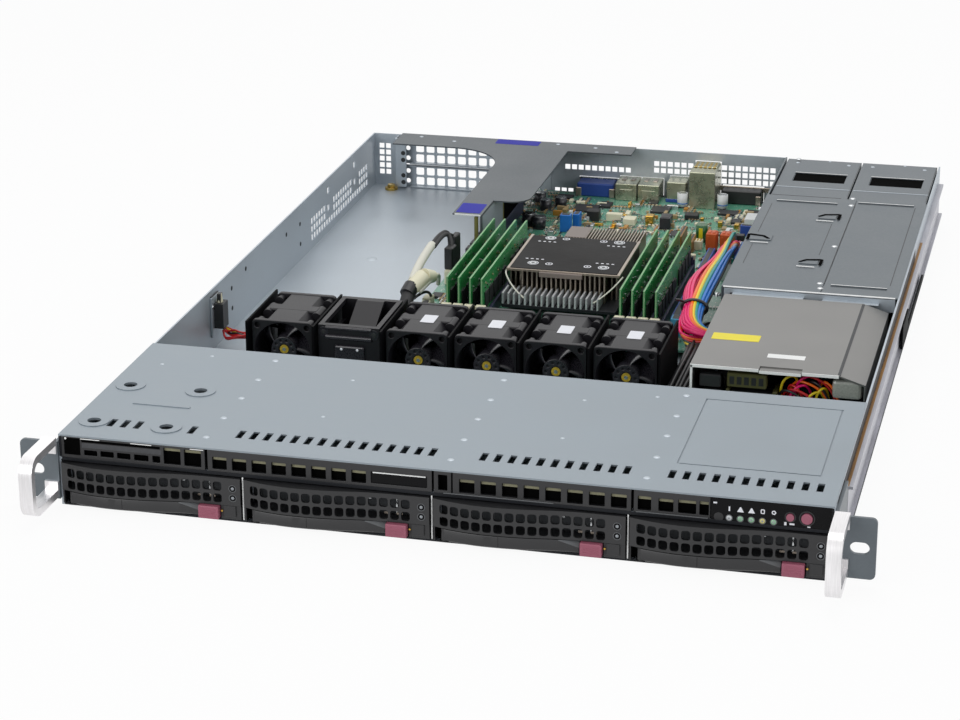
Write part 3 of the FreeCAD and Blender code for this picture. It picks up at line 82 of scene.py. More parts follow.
def colour_property(name, description, default):
    rgb = tuple(int(default[i:i + 2], 16) / 255 for i in (0, 2, 4))
    return bpy.props.FloatVectorProperty(name=name, description=description, default=rgb, subtype="COLOR_GAMMA",
                                         size=3, min=0, max=1)


class ServerSizes(bpy.types.PropertyGroup):
    """Sizes that only the looks use."""
    edge: length_property("Sheet edge", "Rounding of sheet metal edges", 0.18)
    moulded_edge: length_property("Moulded edge", "Rounding of moulded plastic edges", 0.35)
    hole_corner: length_property("Hole corner", "Corner radius of the carriers' vent holes", 1.5)
    wire: length_property("Wire", "Radius over the insulation of one wire", 0.95)
    rivet: length_property("Rivet", "Radius of a rivet head", 2.0)
    label_corner: length_property("Label corner", "Corner radius of a label", 0.8)


class ServerColours(bpy.types.PropertyGroup):
    """Colours, as they are read off a paint card."""
    steel: colour_property("Zinc coated steel", "Sheet metal of the chassis", "b2bac1")
    # set darker than the tray's steel, which is the same sheet: painted shade
    cover: colour_property("Front cover", "Sheet metal of the front cover", "8c959c")
    riser: colour_property("Riser cover", "Sheet metal over the riser card", "50565a")
    dark_steel: colour_property("Grey sheet", "Covers of the riser and the power supplies", "636a6f")
    hood: colour_property("Hood", "Cover of the power distribution board", "807f7d")
    plastic: colour_property("Black plastic", "Moulded fronts and fans", "1b1b1d")
    maroon: colour_property("Latch", "Latches and buttons", "985466")
    board: colour_property("Board", "Solder mask of the main board", "1f5a48")
    memory: colour_property("Memory", "Solder mask of the memory modules", "255f3a")
    fins: colour_property("Fins", "Plated fins of the heatsink", "8a8279")
    plate: colour_property("Heatsink plate", "Top plate of the heatsink", "171616")


def sizes():
    return bpy.context.scene.server_sizes


def paint(name):
    """A colour of the panel, in linear light."""
    return linear(getattr(bpy.context.scene.server_colours, name))


def linear(colour):
    """sRGB, as a hex text or three values, to linear red, green, blue and alpha."""
    if isinstance(colour, str):
        colour = [int(colour[i:i + 2], 16) / 255 for i in (0, 2, 4)]
    return [c / 12.92 if c <= 0.04045 else ((c + 0.055) / 1.055) ** 2.4 for c in colour] + [1.0]


# ------------------------------------------------------------------ materials

def add(tree, kind, links=(), values=(), **settings):
    """Add one shader node: values fill its own sockets and links join them to other nodes."""
    item = tree.nodes.new(kind)
    for key, setting in settings.items():
        setattr(item, key, setting)
    for socket, number in dict(values).items():
        item.inputs[socket].default_value = number
    for socket, source in dict(links).items():
        tree.links.new(source, item.inputs[socket])
    return item


def surface(name, colour, rough, metal=0.0, ior=1.5, grain=1.0, stretch=(1, 1, 1), tint=0.06, spread=0.08,
            bump=0.05, coat=0.0, patch=45.0, paint_over=None):
    """A finish whose colour, gloss and height vary with a fine grain and with broad patches.

    grain and patch are sizes in millimetres, and stretch draws the grain out along an axis."""
    material = bpy.data.materials.new(name)
    material.use_nodes = True
    tree = material.node_tree
    tree.nodes.clear()
    place = add(tree, "ShaderNodeTexCoord").outputs["Object"]
    scale = [1 / (grain * MM * s) for s in stretch]
    grid = add(tree, "ShaderNodeMapping", {"Vector": place}, {"Scale": scale}).outputs["Vector"]
    fine = add(tree, "ShaderNodeTexNoise", {"Vector": grid}, {"Scale": 1, "Detail": 3, "Roughness": 0.6}).outputs["Fac"]
    broad = add(tree, "ShaderNodeTexNoise", {"Vector": place}, {"Scale": 1 / (patch * MM), "Detail": 2}).outputs["Fac"]
    both = add(tree, "ShaderNodeMath", {0: fine, 1: broad}, operation="ADD").outputs[0]
    mean = add(tree, "ShaderNodeMath", {0: both}, {1: 0.5}, operation="MULTIPLY").outputs[0]
    ramp = add(tree, "ShaderNodeValToRGB", {"Fac": mean})
    for stop, place_on, shade in zip(ramp.color_ramp.elements, (0.35, 0.65), (1 - tint, 1 + tint)):
        stop.position = place_on
        stop.color = [min(1, c * shade) for c in colour[:3]] + [1]
    base = ramp.outputs["Color"]
    if paint_over:
        base = paint_over(tree, place, base)
    gloss = add(tree, "ShaderNodeMapRange", {"Value": mean}, {
        "From Min": 0.3, "From Max": 0.7, "To Min": max(0.02, rough - spread), "To Max": min(1, rough + spread)})
    height = add(tree, "ShaderNodeBump", {"Height": fine}, {"Strength": bump, "Distance": 0.1 * MM})
    shader = add(tree, "ShaderNodeBsdfPrincipled",
                 {"Base Color": base, "Roughness": gloss.outputs["Result"], "Normal": height.outputs["Normal"]},
                 {"Metallic": metal, "IOR": ior, "Coat Weight": coat})
    add(tree, "ShaderNodeOutputMaterial", {"Surface": shader.outputs["BSDF"]})
    return material


def glow(name, colour, strength):
    """A lens lit from behind, with a faint clear coat."""
    material = surface(name, colour, 0.25, grain=0.5, coat=0.5)
    shader = next(item for item in material.node_tree.nodes if item.type == "BSDF_PRINCIPLED")
    shader.inputs["Emission Color"].default_value = colour
    shader.inputs["Emission Strength"].default_value = strength
    return material


def make_materials():
    """Every finish on the server, named for what it really is."""
    entries = {
        # hot-dip zinc on steel: pale, blue-grey, half dull, with a faint cloudy grain
        "galvanised_steel": surface("galvanised_steel", paint("steel"), 0.42, 0.5, grain=2.2, tint=0.05, bump=0.04),
        # the tray's steel on the cover, set a shade darker as painted shade, with the faint lines of the rolling mill
        "rolled_cover_steel": surface("rolled_cover_steel", paint("cover"), 0.46, 0.5, grain=1.4, stretch=(14, 1, 1), tint=0.04, bump=0.03),
        # satin grey of the riser cover, darker than the supplies
        "satin_riser_steel": surface("satin_riser_steel", paint("riser"), 0.44, 0.4, grain=1.6, tint=0.05, bump=0.04),
        # the same sheet with a darker chromate finish
        "chromated_steel": surface("chromated_steel", paint("dark_steel"), 0.40, 0.5, grain=1.6, tint=0.05, bump=0.04),
        # brushed warm sheet, its lines running across the hood
        "brushed_hood_steel": surface("brushed_hood_steel", paint("hood"), 0.36, 0.7, grain=0.5, stretch=(30, 1, 1),
                                      tint=0.10, bump=0.05),
        # drawn aluminium bar, brushed round its bend
        "brushed_aluminium": surface("brushed_aluminium", linear("e9e7e8"), 0.34, 0.75, grain=0.35, stretch=(1, 40, 40),
                                     tint=0.14, bump=0.08),
        # rolled rail: bright faces and an oily bronze passivation at its edges
        "passivated_rail": surface("passivated_rail", linear("b4b4bb"), 0.38, 0.6, grain=3.0, stretch=(1, 12, 1), tint=0.16),
        "bronze_rail_edge": surface("bronze_rail_edge", linear("94692c"), 0.4, 0.5, grain=3.0, stretch=(1, 12, 1), tint=0.2),
        # ABS with a fine spark-eroded texture: soft dull highlights
        "black_abs": surface("black_abs", paint("plastic"), 0.46, grain=0.35, tint=0.10, bump=0.16, ior=1.53),
        # the same plastic polished behind the control panel's film
        "polished_abs": surface("polished_abs", linear("09090b"), 0.28, ior=1.22, grain=0.8, tint=0.05, bump=0.01),
        # glass-filled nylon of the fans: a touch of purple in the black, slightly shiny
        "nylon_fan": surface("nylon_fan", linear("19181c"), 0.44, ior=1.36, grain=0.8, tint=0.16, bump=0.10),
        # the plates between the fans, in the shade of the row
        "shaded_nylon": surface("shaded_nylon", linear("070709"), 0.6, ior=1.15, grain=0.8, tint=0.16, bump=0.10),
        # solder mask of the distribution board, which the hood keeps in the dark
        "shaded_board": surface("shaded_board", linear("0e1713"), 0.5, ior=1.25, grain=0.9, tint=0.2),
        "card_edge": surface("card_edge", linear("6d6a34"), 0.5, grain=0.6, tint=0.12),
        "nylon_rotor": surface("nylon_rotor", linear("26242a"), 0.30, grain=0.8, tint=0.12, bump=0.05),
        "maroon_abs": surface("maroon_abs", paint("maroon"), 0.42, grain=0.4, tint=0.08, bump=0.10),
        "fr4_board": surface("fr4_board", paint("board"), 0.32, grain=0.9, tint=0.14, bump=0.02, coat=0.2,
                             paint_over=copper_runs(linear("579a80"))),
        "memory_board": surface("memory_board", paint("memory"), 0.32, grain=0.9, tint=0.14, bump=0.02, coat=0.2,
                                paint_over=copper_runs(linear("2b8a48"))),
        "epoxy_chip": surface("epoxy_chip", linear("1a1b1d"), 0.5, grain=0.25, tint=0.12, bump=0.12),
        "tinned_metal": surface("tinned_metal", linear("c3c6c8"), 0.24, 0.95, grain=1.5, tint=0.08),
        "nickel_fin": surface("nickel_fin", paint("fins"), 0.34, 0.85, grain=1.2, tint=0.12),
        "black_nickel_plate": surface("black_nickel_plate", paint("plate"), 0.55, 0.15, ior=1.22, grain=0.6, stretch=(12, 1, 1), tint=0.10),
        "gold_plate": surface("gold_plate", linear("c9a14a"), 0.25, 0.95, grain=0.6),
        "cream_nylon": surface("cream_nylon", linear("e2ddc2"), 0.45, grain=0.7, tint=0.04),
        "blue_nylon": surface("blue_nylon", linear("2a4a9a"), 0.42, grain=0.7),
        "slate_nylon": surface("slate_nylon", linear("2b2f45"), 0.42, grain=0.7),
        "white_nylon": surface("white_nylon", linear("dcdedd"), 0.45, grain=0.7, tint=0.03),
        "orange_nylon": surface("orange_nylon", linear("c4551f"), 0.42, grain=0.7),
        "yellow_ink": surface("yellow_ink", linear("e0cf22"), 0.4, grain=1.0, tint=0.03),
        "label_paper": surface("label_paper", linear("e4e5ea"), 0.55, grain=0.5, tint=0.03),
        "blue_label": surface("blue_label", linear("25279c"), 0.5, ior=1.2, grain=1.0, tint=0.05),
        "yellow_label": surface("yellow_label", linear("e9d816"), 0.42, grain=1.0, tint=0.04),
        "cast_drive_case": surface("cast_drive_case", linear("34373a"), 0.5, 0.4, grain=1.0, tint=0.1),
        # pale grey plastic of the lamp rings, also used as a painted highlight on lips and ramps
        "worn_abs": surface("worn_abs", linear("5a5c5e"), 0.35, grain=0.5, tint=0.1),
        # duct behind the bezel: painted olive light on its roof, and painted shade for the rest
        "smoked_duct": surface("smoked_duct", linear("7d7a60"), 0.5, grain=1.5, tint=0.2),
        "unlit_duct": surface("unlit_duct", linear("060606"), 0.9, ior=1.08, grain=1.5, tint=0.2),
        "worn_duct": surface("worn_duct", linear("3a3b3e"), 0.5, grain=1.5, tint=0.2),
        "brass_plate": surface("brass_plate", linear("b69a52"), 0.3, 0.9, grain=0.6, tint=0.1),
        "pale_fin": surface("pale_fin", linear("b9bbbd"), 0.4, 0.35, grain=1.2, tint=0.1),
        "pale_bronze": surface("pale_bronze", linear("a1968a"), 0.32, 0.85, grain=1.0, tint=0.12),
        # copper lip and fins under the plate, plated brown
        "brown_plating": surface("brown_plating", linear("7a706a"), 0.5, 0.2, grain=1.0, tint=0.1),
        "warm_tin": surface("warm_tin", linear("a5a691"), 0.28, 0.8, grain=3.0, tint=0.12, patch=9, bump=0.02),
        "cut_board_edge": surface("cut_board_edge", linear("7da879"), 0.55, grain=0.6, tint=0.12),
        # white strips for the light that cut edges and lips catch: painted highlight
        "cut_steel_edge": surface("cut_steel_edge", linear("f0f0ee"), 0.45, grain=0.8, tint=0.04),
        # steel edges, channels, steps and dimples painted dark: painted shade
        "blackened_steel": surface("blackened_steel", linear("1c1e22"), 0.5, 0.2, ior=1.3, grain=1.0, tint=0.2),
        "worn_dark_steel": surface("worn_dark_steel", linear("2c2e31"), 0.45, 0.5, grain=1.0, tint=0.2),
        "ceramic_cap": surface("ceramic_cap", linear("a08a62"), 0.45, grain=0.5, tint=0.15),
        "tantalum_cap": surface("tantalum_cap", linear("b07b2c"), 0.4, grain=0.5, tint=0.1),
        "ferrite_coil": surface("ferrite_coil", linear("3a3b3e"), 0.5, grain=0.4, tint=0.15, bump=0.15),
        "green_sleeve": surface("green_sleeve", linear("1f5a2a"), 0.3, grain=0.6, tint=0.1),
        "violet_nylon": surface("violet_nylon", linear("413a58"), 0.42, grain=0.6, tint=0.1),
        "pale_blue_nylon": surface("pale_blue_nylon", linear("4f9fc4"), 0.42, grain=0.6, tint=0.06),
        "olive_nylon": surface("olive_nylon", linear("4c4a28"), 0.45, grain=0.6, tint=0.12),
        "smoky_film": surface("smoky_film", linear("a3a59d"), 0.3, grain=1.2, tint=0.25, coat=0.4),
        # pale grey for the glint on a lens: painted highlight
        "light_pipe": surface("light_pipe", linear("8d9296"), 0.2, grain=0.5, coat=0.5),
        "steel_screw": surface("steel_screw", linear("b9bcbe"), 0.25, 0.95, grain=0.4, tint=0.1),
        "electrolytic_sleeve": surface("electrolytic_sleeve", linear("26262b"), 0.3, grain=0.5),
        "yellow_rotor_core": surface("yellow_rotor_core", linear("b59a2a"), 0.5, grain=1.2, tint=0.4),
        "silicone_sleeve": surface("silicone_sleeve", linear("dad8cb"), 0.5, grain=0.6, tint=0.05),
        "polyester_braid": surface("polyester_braid", linear("1a1a1c"), 0.6, grain=0.6, tint=0.3, bump=0.4),
    }
    for name, value in (("magenta", "e6006a"), ("orange", "f26a12"), ("teal", "0f8f86"), ("blue", "1b6fc2"),
                        ("yellow", "e3c81a"), ("red", "c41f24"), ("black", "17171a"), ("grey", "8f9398"), ("white", "e3e5e8")):
        # PVC insulation: smooth, a little waxy
        entries[f"{name}_insulation"] = surface(f"{name}_insulation", linear(value), 0.36, grain=1.0, tint=0.05, bump=0.02)
    for name, value in (("white", "b4b7b8"), ("green", "7fa888"), ("amber", "b5ad6e")):
        entries[f"{name}_lamp"] = glow(f"{name}_lamp", linear(value), 0.12)
    MATERIALS.update(entries)


def copper_runs(trace):
    """Paint fine copper runs and tinned pads over a board's solder mask."""
    def paint_over(tree, place, base):
        cells = add(tree, "ShaderNodeMapping", {"Vector": place}, {"Scale": (1 / (1.2 * MM), 1 / (7 * MM), 1 / (4 * MM))})
        runs = add(tree, "ShaderNodeTexBrick", {"Vector": cells.outputs["Vector"]}, {
            "Scale": 1, "Mortar Size": 0.12, "Color1": (0, 0, 0, 1), "Color2": (0.3, 0.3, 0.3, 1), "Mortar": (1, 1, 1, 1)})
        traced = add(tree, "ShaderNodeMix", {0: runs.outputs["Color"], 6: base}, {7: trace}, data_type="RGBA")
        pads = add(tree, "ShaderNodeTexVoronoi", {"Vector": place}, {"Scale": 1 / (2.6 * MM), "Randomness": 0.85})
        spots = add(tree, "ShaderNodeMath", {0: pads.outputs["Distance"]}, {1: 0.2}, operation="LESS_THAN")
        tinned = add(tree, "ShaderNodeMix", {0: spots.outputs[0], 6: traced.outputs[2]}, {7: linear("b9c2b4")}, data_type="RGBA")
        return tinned.outputs[2]
    return paint_over


def dress(node, finish, edge=None, segments=2):
    """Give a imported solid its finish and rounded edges."""
    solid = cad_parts[node]
    solid.data.materials.clear()
    solid.data.materials.append(MATERIALS[finish])
    width = sizes().edge if edge is None else edge * MM
    if width:
        rounding = solid.modifiers.new("edges", "BEVEL")
        rounding.width = width
        rounding.segments = segments
        rounding.limit_method = "ANGLE"
        rounding.angle_limit = math.radians(40)
        rounding.use_clamp_overlap = True


# ------------------------------------------------------------------ shapes

def rounded(x0, x1, y0, y1, radius, steps=3):
    """Corner points of a rectangle with round corners."""
    spots = []
    for cx, cy, start in ((x1 - radius, y1 - radius, 0), (x0 + radius, y1 - radius, 90),
                          (x0 + radius, y0 + radius, 180), (x1 - radius, y0 + radius, 270)):
        for step in range(steps + 1):
            angle = math.radians(start + 90 * step / steps)
            spots.append((cx + radius * math.cos(angle), cy + radius * math.sin(angle)))
    return spots


def circle(cx, cy, radius, sides=20, start=0.0):
    turns = [start + 2 * math.pi * i / sides for i in range(sides)]
    return [(cx + radius * math.cos(a), cy + radius * math.sin(a)) for a in turns]


class Piece:
    """One object built up from many small solids, each in its own finish, in millimetres."""

    def __init__(self, name):
        self.name = name
        self.mesh = bmesh.new()
        self.finishes = []

    def finish_faces(self, faces, finish, smooth=False):
        if finish not in self.finishes:
            self.finishes.append(finish)
        index = self.finishes.index(finish)
        for face in faces:
            face.material_index = index
            face.smooth = smooth

    def block(self, x, y, z, finish, rounding=0.0, segments=1, turn=0.0):
        """Box between pairs of x, y and z, its edges rounded and itself turned about its upright axis."""
        low, high = Vector((x[0], y[0], z[0])), Vector((x[1], y[1], z[1]))
        middle = (low + high) / 2
        size = Matrix.Diagonal((*(high - low), 1))
        place = Matrix.Translation(middle) @ Matrix.Rotation(math.radians(turn), 4, "Z") @ size
        verts = bmesh.ops.create_cube(self.mesh, size=1, matrix=place)["verts"]
        faces = list({face for vert in verts for face in vert.link_faces})
        self.finish_faces(faces, finish)
        if rounding:
            edges = list({edge for vert in verts for edge in vert.link_edges})
            made = bmesh.ops.bevel(self.mesh, geom=edges, offset=rounding, segments=segments, profile=0.5,
                                   affect="EDGES", clamp_overlap=True)
            self.finish_faces(made["faces"], finish)

    def bar(self, start, end, radius, finish, sides=16, tip=None, smooth=True):
        """Round or many-sided bar, tapering to the radius tip."""
        start, end = Vector(start), Vector(end)
        run = end - start
        place = Matrix.Translation((start + end) / 2) @ run.to_track_quat("Z", "Y").to_matrix().to_4x4()
        made = bmesh.ops.create_cone(self.mesh, cap_ends=True, segments=sides, radius1=radius,
                                     radius2=radius if tip is None else tip, depth=run.length, matrix=place)
        faces = list({face for vert in made["verts"] for face in vert.link_faces})
        self.finish_faces(faces, finish)
        for face in faces:
            face.smooth = smooth and len(face.verts) == 4

    def dome(self, centre, radius, height, finish, way=(0, 0, 1), sides=16):
        """Low round head standing on a surface."""
        rings = 3
        turn = Vector(way).to_track_quat("Z", "Y").to_matrix()
        grid = []
        for ring in range(rings):
            angle = math.pi / 2 * ring / rings
            grid.append([self.mesh.verts.new(Vector(centre) + turn @ Vector((
                radius * math.cos(angle) * math.cos(2 * math.pi * i / sides),
                radius * math.cos(angle) * math.sin(2 * math.pi * i / sides), height * math.sin(angle))))
                for i in range(sides)])
        top = self.mesh.verts.new(Vector(centre) + turn @ Vector((0, 0, height)))
        faces = []
        for low, high in zip(grid, grid[1:]):
            faces += [self.mesh.faces.new((low[i], low[(i + 1) % sides], high[(i + 1) % sides], high[i]))
                      for i in range(sides)]
        faces += [self.mesh.faces.new((grid[-1][i], grid[-1][(i + 1) % sides], top)) for i in range(sides)]
        self.finish_faces(faces, finish, True)

    def plate(self, plane, level, thick, outline, finish, holes=(), rim=0.0):
        """Flat piece with holes. plane is XY, XZ or YZ, and level is its lower face."""
        curve = bpy.data.curves.new("outline", "CURVE")
        curve.dimensions = "2D"
        curve.fill_mode = "BOTH"
        curve.extrude = thick / 2 - rim
        curve.bevel_depth = rim
        curve.bevel_resolution = 1
        curve.offset = -rim
        for spots in (outline, *holes):
            spline = curve.splines.new("POLY")
            spline.points.add(len(spots) - 1)
            for point, (u, v) in zip(spline.points, spots):
                point.co = (u, v, 0, 1)
            spline.use_cyclic_u = True
        holder = bpy.data.objects.new("outline", curve)
        flat = bpy.data.meshes.new_from_object(holder)
        bpy.data.objects.remove(holder)
        turn = {"XY": Matrix(), "XZ": Matrix(((1, 0, 0, 0), (0, 0, 1, 0), (0, 1, 0, 0), (0, 0, 0, 1))),
                "YZ": Matrix(((0, 0, 1, 0), (1, 0, 0, 0), (0, 1, 0, 0), (0, 0, 0, 1)))}[plane]
        lift = {"XY": (0, 0, 1), "XZ": (0, 1, 0), "YZ": (1, 0, 0)}[plane]
        flat.transform(Matrix.Translation(Vector(lift) * (level + thick / 2)) @ turn)
        if plane == "XZ":
            flat.flip_normals()
        if finish not in self.finishes:
            self.finishes.append(finish)
        index = self.finishes.index(finish)
        for face in flat.polygons:
            face.material_index, face.use_smooth = index, False
        self.mesh.from_mesh(flat)
        bpy.data.meshes.remove(flat)
        bpy.data.curves.remove(curve)

    def lattice(self, xs, zs, window, depth, finish, corner):
        """Skin of cells in the XZ plane: window(column, row) gives a round-cornered hole's x and z, or None."""
        joints, faces = {}, []
        for i, (a, b) in enumerate(zip(xs, xs[1:])):
            for j, (c, d) in enumerate(zip(zs, zs[1:])):
                square = []
                for spot in ((b, d), (a, d), (a, c), (b, c)):
                    if spot not in joints:
                        joints[spot] = self.mesh.verts.new((spot[0], 0, spot[1]))
                    square.append(joints[spot])
                hole = window(i, j)
                if not hole:
                    faces.append(self.mesh.faces.new(square))
                    continue
                rim = rounded(*hole, corner)
                near, far = ([self.mesh.verts.new((x, y, z)) for x, z in rim] for y in (0, depth))
                part = len(rim) // 4
                for k in range(4):
                    arc, after = near[k * part:(k + 1) * part], near[(k + 1) * part % len(rim)]
                    faces += [self.mesh.faces.new((square[k], q, p)) for p, q in zip(arc, arc[1:])]
                    faces.append(self.mesh.faces.new((square[(k + 1) % 4], after, arc[-1], square[k])))
                faces += [self.mesh.faces.new((near[k - 1], near[k], far[k], far[k - 1])) for k in range(len(rim))]
        self.finish_faces(faces, finish)

    def bend(self, left, curve):
        """Carry all that is built so far forward along a curve, measured from its left side."""
        for vert in self.mesh.verts:
            vert.co.y += curve(vert.co.x - left)
        self.mesh.normal_update()
        for face in self.mesh.faces:
            face.smooth = True
        self.crease()

    def crease(self):
        """Keep the corners of smooth faces crisp."""
        self.mesh.normal_update()
        for edge in self.mesh.edges:
            if len(edge.link_faces) == 2 and edge.calc_face_angle(0) > math.radians(32):
                edge.smooth = False

    def build(self, body, slot, replaces=(), edge=0.0, at=None):
        """Make the object, give it to its body and say which solids it stands for."""
        data = bpy.data.meshes.new(self.name)
        self.mesh.to_mesh(data)
        self.mesh.free()
        data.transform(Matrix.Translation((0, FRONT, 0)) @ Matrix.Scale(MM, 4))
        piece = bpy.data.objects.new(self.name, data)
        bpy.context.collection.objects.link(piece)
        for finish in self.finishes:
            data.materials.append(MATERIALS[finish])
        if edge:
            rounding = piece.modifiers.new("edges", "BEVEL")
            rounding.width, rounding.segments = edge * MM, 2
            rounding.limit_method, rounding.angle_limit = "ANGLE", math.radians(40)
            rounding.harden_normals = True
        give(piece, body, replaces)
        return piece


def give(piece, body, replaces=()):
    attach(piece, body)
    if replaces:
        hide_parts(*replaces)


def shifted(piece, name, body, shift, replaces=()):
    """The same mesh again, moved along, for the next bay or the next fan."""
    twin = bpy.data.objects.new(name, piece.data)
    bpy.context.collection.objects.link(twin)
    twin.location = Vector(shift) * MM
    for source in piece.modifiers:
        copy = twin.modifiers.new(source.name, source.type)
        for key in ("width", "segments", "limit_method", "angle_limit", "harden_normals"):
            setattr(copy, key, getattr(source, key))
    give(twin, body, replaces)
    return twin


def wires(name, runs, body, replaces=()):
    """Insulated wires: each run is its finish, its radius and the points that it follows."""
    curve = bpy.data.curves.new(name, "CURVE")
    curve.dimensions = "3D"
    curve.bevel_depth = MM
    curve.bevel_resolution = 3
    curve.resolution_u = 8
    curve.use_fill_caps = True
    finishes = []
    for finish, radius, spots in runs:
        if finish not in finishes:
            finishes.append(finish)
            curve.materials.append(MATERIALS[finish])
        spline = curve.splines.new("NURBS")
        spline.points.add(len(spots) - 1)
        for point, spot in zip(spline.points, spots):
            point.co = (*here(*spot), 1)
            point.radius = radius
        spline.order_u = min(4, len(spots))
        spline.use_endpoint_u = True
        spline.use_smooth = True
        spline.material_index = finishes.index(finish)
    piece = bpy.data.objects.new(name, curve)
    bpy.context.collection.objects.link(piece)
    give(piece, body, replaces)
    return piece


# ------------------------------------------------------------------ stage

class SERVER_OT_stage(bpy.types.Operator):
    """Pale floor, soft studio light and the camera"""
    bl_idname = "server.stage"
    bl_label = "Stage"

    def execute(self, context):
        scene = context.scene
        scene.view_settings.view_transform = "Standard"
        self.floor()
        self.light(scene)
        self.camera(scene)
        return {"FINISHED"}

    def floor(self):
        bpy.ops.mesh.primitive_plane_add(size=12, location=(0, 0, -0.0005))
        floor = bpy.context.object
        floor.name = "floor"
        material = bpy.data.materials.new("matt_white_backdrop")
        material.use_nodes = True
        tree = material.node_tree
        tree.nodes.clear()
        # matt paint that keeps a soft shadow, and reads white where it is looked at or mirrored
        matt = add(tree, "ShaderNodeBsdfDiffuse", values={"Color": (0.85, 0.85, 0.85, 1)})
        white = add(tree, "ShaderNodeEmission", values={"Color": (1, 1, 1, 1), "Strength": 1.0})
        rays = add(tree, "ShaderNodeLightPath")
        seen = add(tree, "ShaderNodeMath", {0: rays.outputs["Is Camera Ray"], 1: rays.outputs["Is Glossy Ray"]}, operation="MAXIMUM")
        share = add(tree, "ShaderNodeMath", {0: seen.outputs[0]}, {1: 0.93}, operation="MULTIPLY")
        mix = add(tree, "ShaderNodeMixShader", {0: share.outputs[0], 1: matt.outputs[0], 2: white.outputs[0]})
        add(tree, "ShaderNodeOutputMaterial", {"Surface": mix.outputs[0]})
        floor.data.materials.append(material)

    def light(self, scene):
        world = bpy.data.worlds.new("studio")
        scene.world = world
        world.use_nodes = True
        tree = world.node_tree
        tree.nodes.clear()
        rays = add(tree, "ShaderNodeLightPath")
        glossy = add(tree, "ShaderNodeMath", {0: rays.outputs["Is Glossy Ray"], 1: rays.outputs["Is Transmission Ray"]}, operation="MAXIMUM")
        seen = add(tree, "ShaderNodeMath", {0: rays.outputs["Is Camera Ray"], 1: glossy.outputs[0]}, operation="MAXIMUM")
        dim = add(tree, "ShaderNodeBackground", values={"Color": (0.93, 0.96, 1, 1), "Strength": 0.42})
        white = add(tree, "ShaderNodeBackground", values={"Color": (1, 1, 1, 1), "Strength": 1.0})
        mix = add(tree, "ShaderNodeMixShader", {0: seen.outputs[0], 1: dim.outputs[0], 2: white.outputs[0]})
        add(tree, "ShaderNodeOutputWorld", {"Surface": mix.outputs[0]})
        for name, place, size, power, tone in (
                ("top_panel", (0.0, 0.3, 1.45), 1.3, 9.5, (1, 0.99, 0.97)),
                ("front_panel", (-1.0, -1.7, 0.9), 1.1, 14, (1, 1, 1)),
                ("right_panel", (1.7, -0.9, 0.8), 0.9, 8, (0.96, 0.98, 1)),
                ("rear_panel", (-0.9, 1.7, 1.2), 1.2, 2, (1, 1, 1))):
            lamp = bpy.data.lights.new(name, "AREA")
            lamp.size, lamp.energy, lamp.color = size, power, tone
            holder = bpy.data.objects.new(name, lamp)
            holder.location = place
            holder.rotation_euler = (-Vector(place)).to_track_quat("-Z", "Y").to_euler()
            scene.collection.objects.link(holder)

    def camera(self, scene):
        # a long lens from the front right, above the server, with a touch of roll
        turn, dip, roll = -0.27852265, 0.35355637, -0.01644556
        forward = Vector((math.sin(turn) * math.cos(dip), math.cos(turn) * math.cos(dip), -math.sin(dip)))
        right = Vector((math.cos(turn), -math.sin(turn), 0))
        up = right.cross(forward)
        across = right * math.cos(roll) + up * math.sin(roll)
        upright = up * math.cos(roll) - right * math.sin(roll)
        lens = bpy.data.cameras.new("camera")
        lens.lens, lens.sensor_width = 100.81, 36
        lens.shift_x, lens.shift_y = 0.0930, -0.0084
        lens.clip_start, lens.clip_end = 0.05, 30
        camera = bpy.data.objects.new("camera", lens)
        scene.collection.objects.link(camera)
        rotation = Matrix((across, upright, -forward)).transposed().to_4x4()
        camera.matrix_world = Matrix.Translation(here(351.18, -1304.99, 610.0)) @ rotation
        scene.camera = camera


# ------------------------------------------------------------------ chassis

class SERVER_OT_chassis(bpy.types.Operator):
    """Zinc coated tray, front cover and shelves, with their rivets, dimples and screws"""
    bl_idname = "server.chassis"
    bl_label = "Chassis and front cover"

    def execute(self, context):
        for node in ("chassis_tray", "drive_cage"):
            dress(node, "galvanised_steel")
        dress("front_cover", "rolled_cover_steel", 0.22)
        dress("backplane", "fr4_board")
        metal = Piece("cover_rivets")
        _, top = extent("front_cover")
        level = top.z - 0.5
        # flush rivets in rows over the bay dividers, and spot weld dimples between them
        for x in (-135, 7, 116):
            for y in (15, 45, 77, 108, 141):
                metal.dome((x, y, level - 0.02), sizes().rivet / MM, 0.45, "galvanised_steel")
        for x, y in ((-80, 60), (-80, 120), (60, 60), (60, 120), (-200, 120), (-175, 140), (100, 135)):
            metal.dome((x, y, level - 0.02), 1.3, 0.35, "galvanised_steel", sides=12)
        metal.build("chassis", "zinc_steel")
        floor = Piece("floor_screws")
        floor.bar((-201, 636, 1), (-201, 636, 3), 5, "brass_plate", 24)
        floor.bar((-201, 636, 3), (-201, 636, 5.2), 3.2, "brass_plate", 6)
        floor.dome((-168, 465, 0.98), 4, 0.6, "galvanised_steel")
        floor.build("chassis", "zinc_steel", edge=0.2)
        return {"FINISHED"}


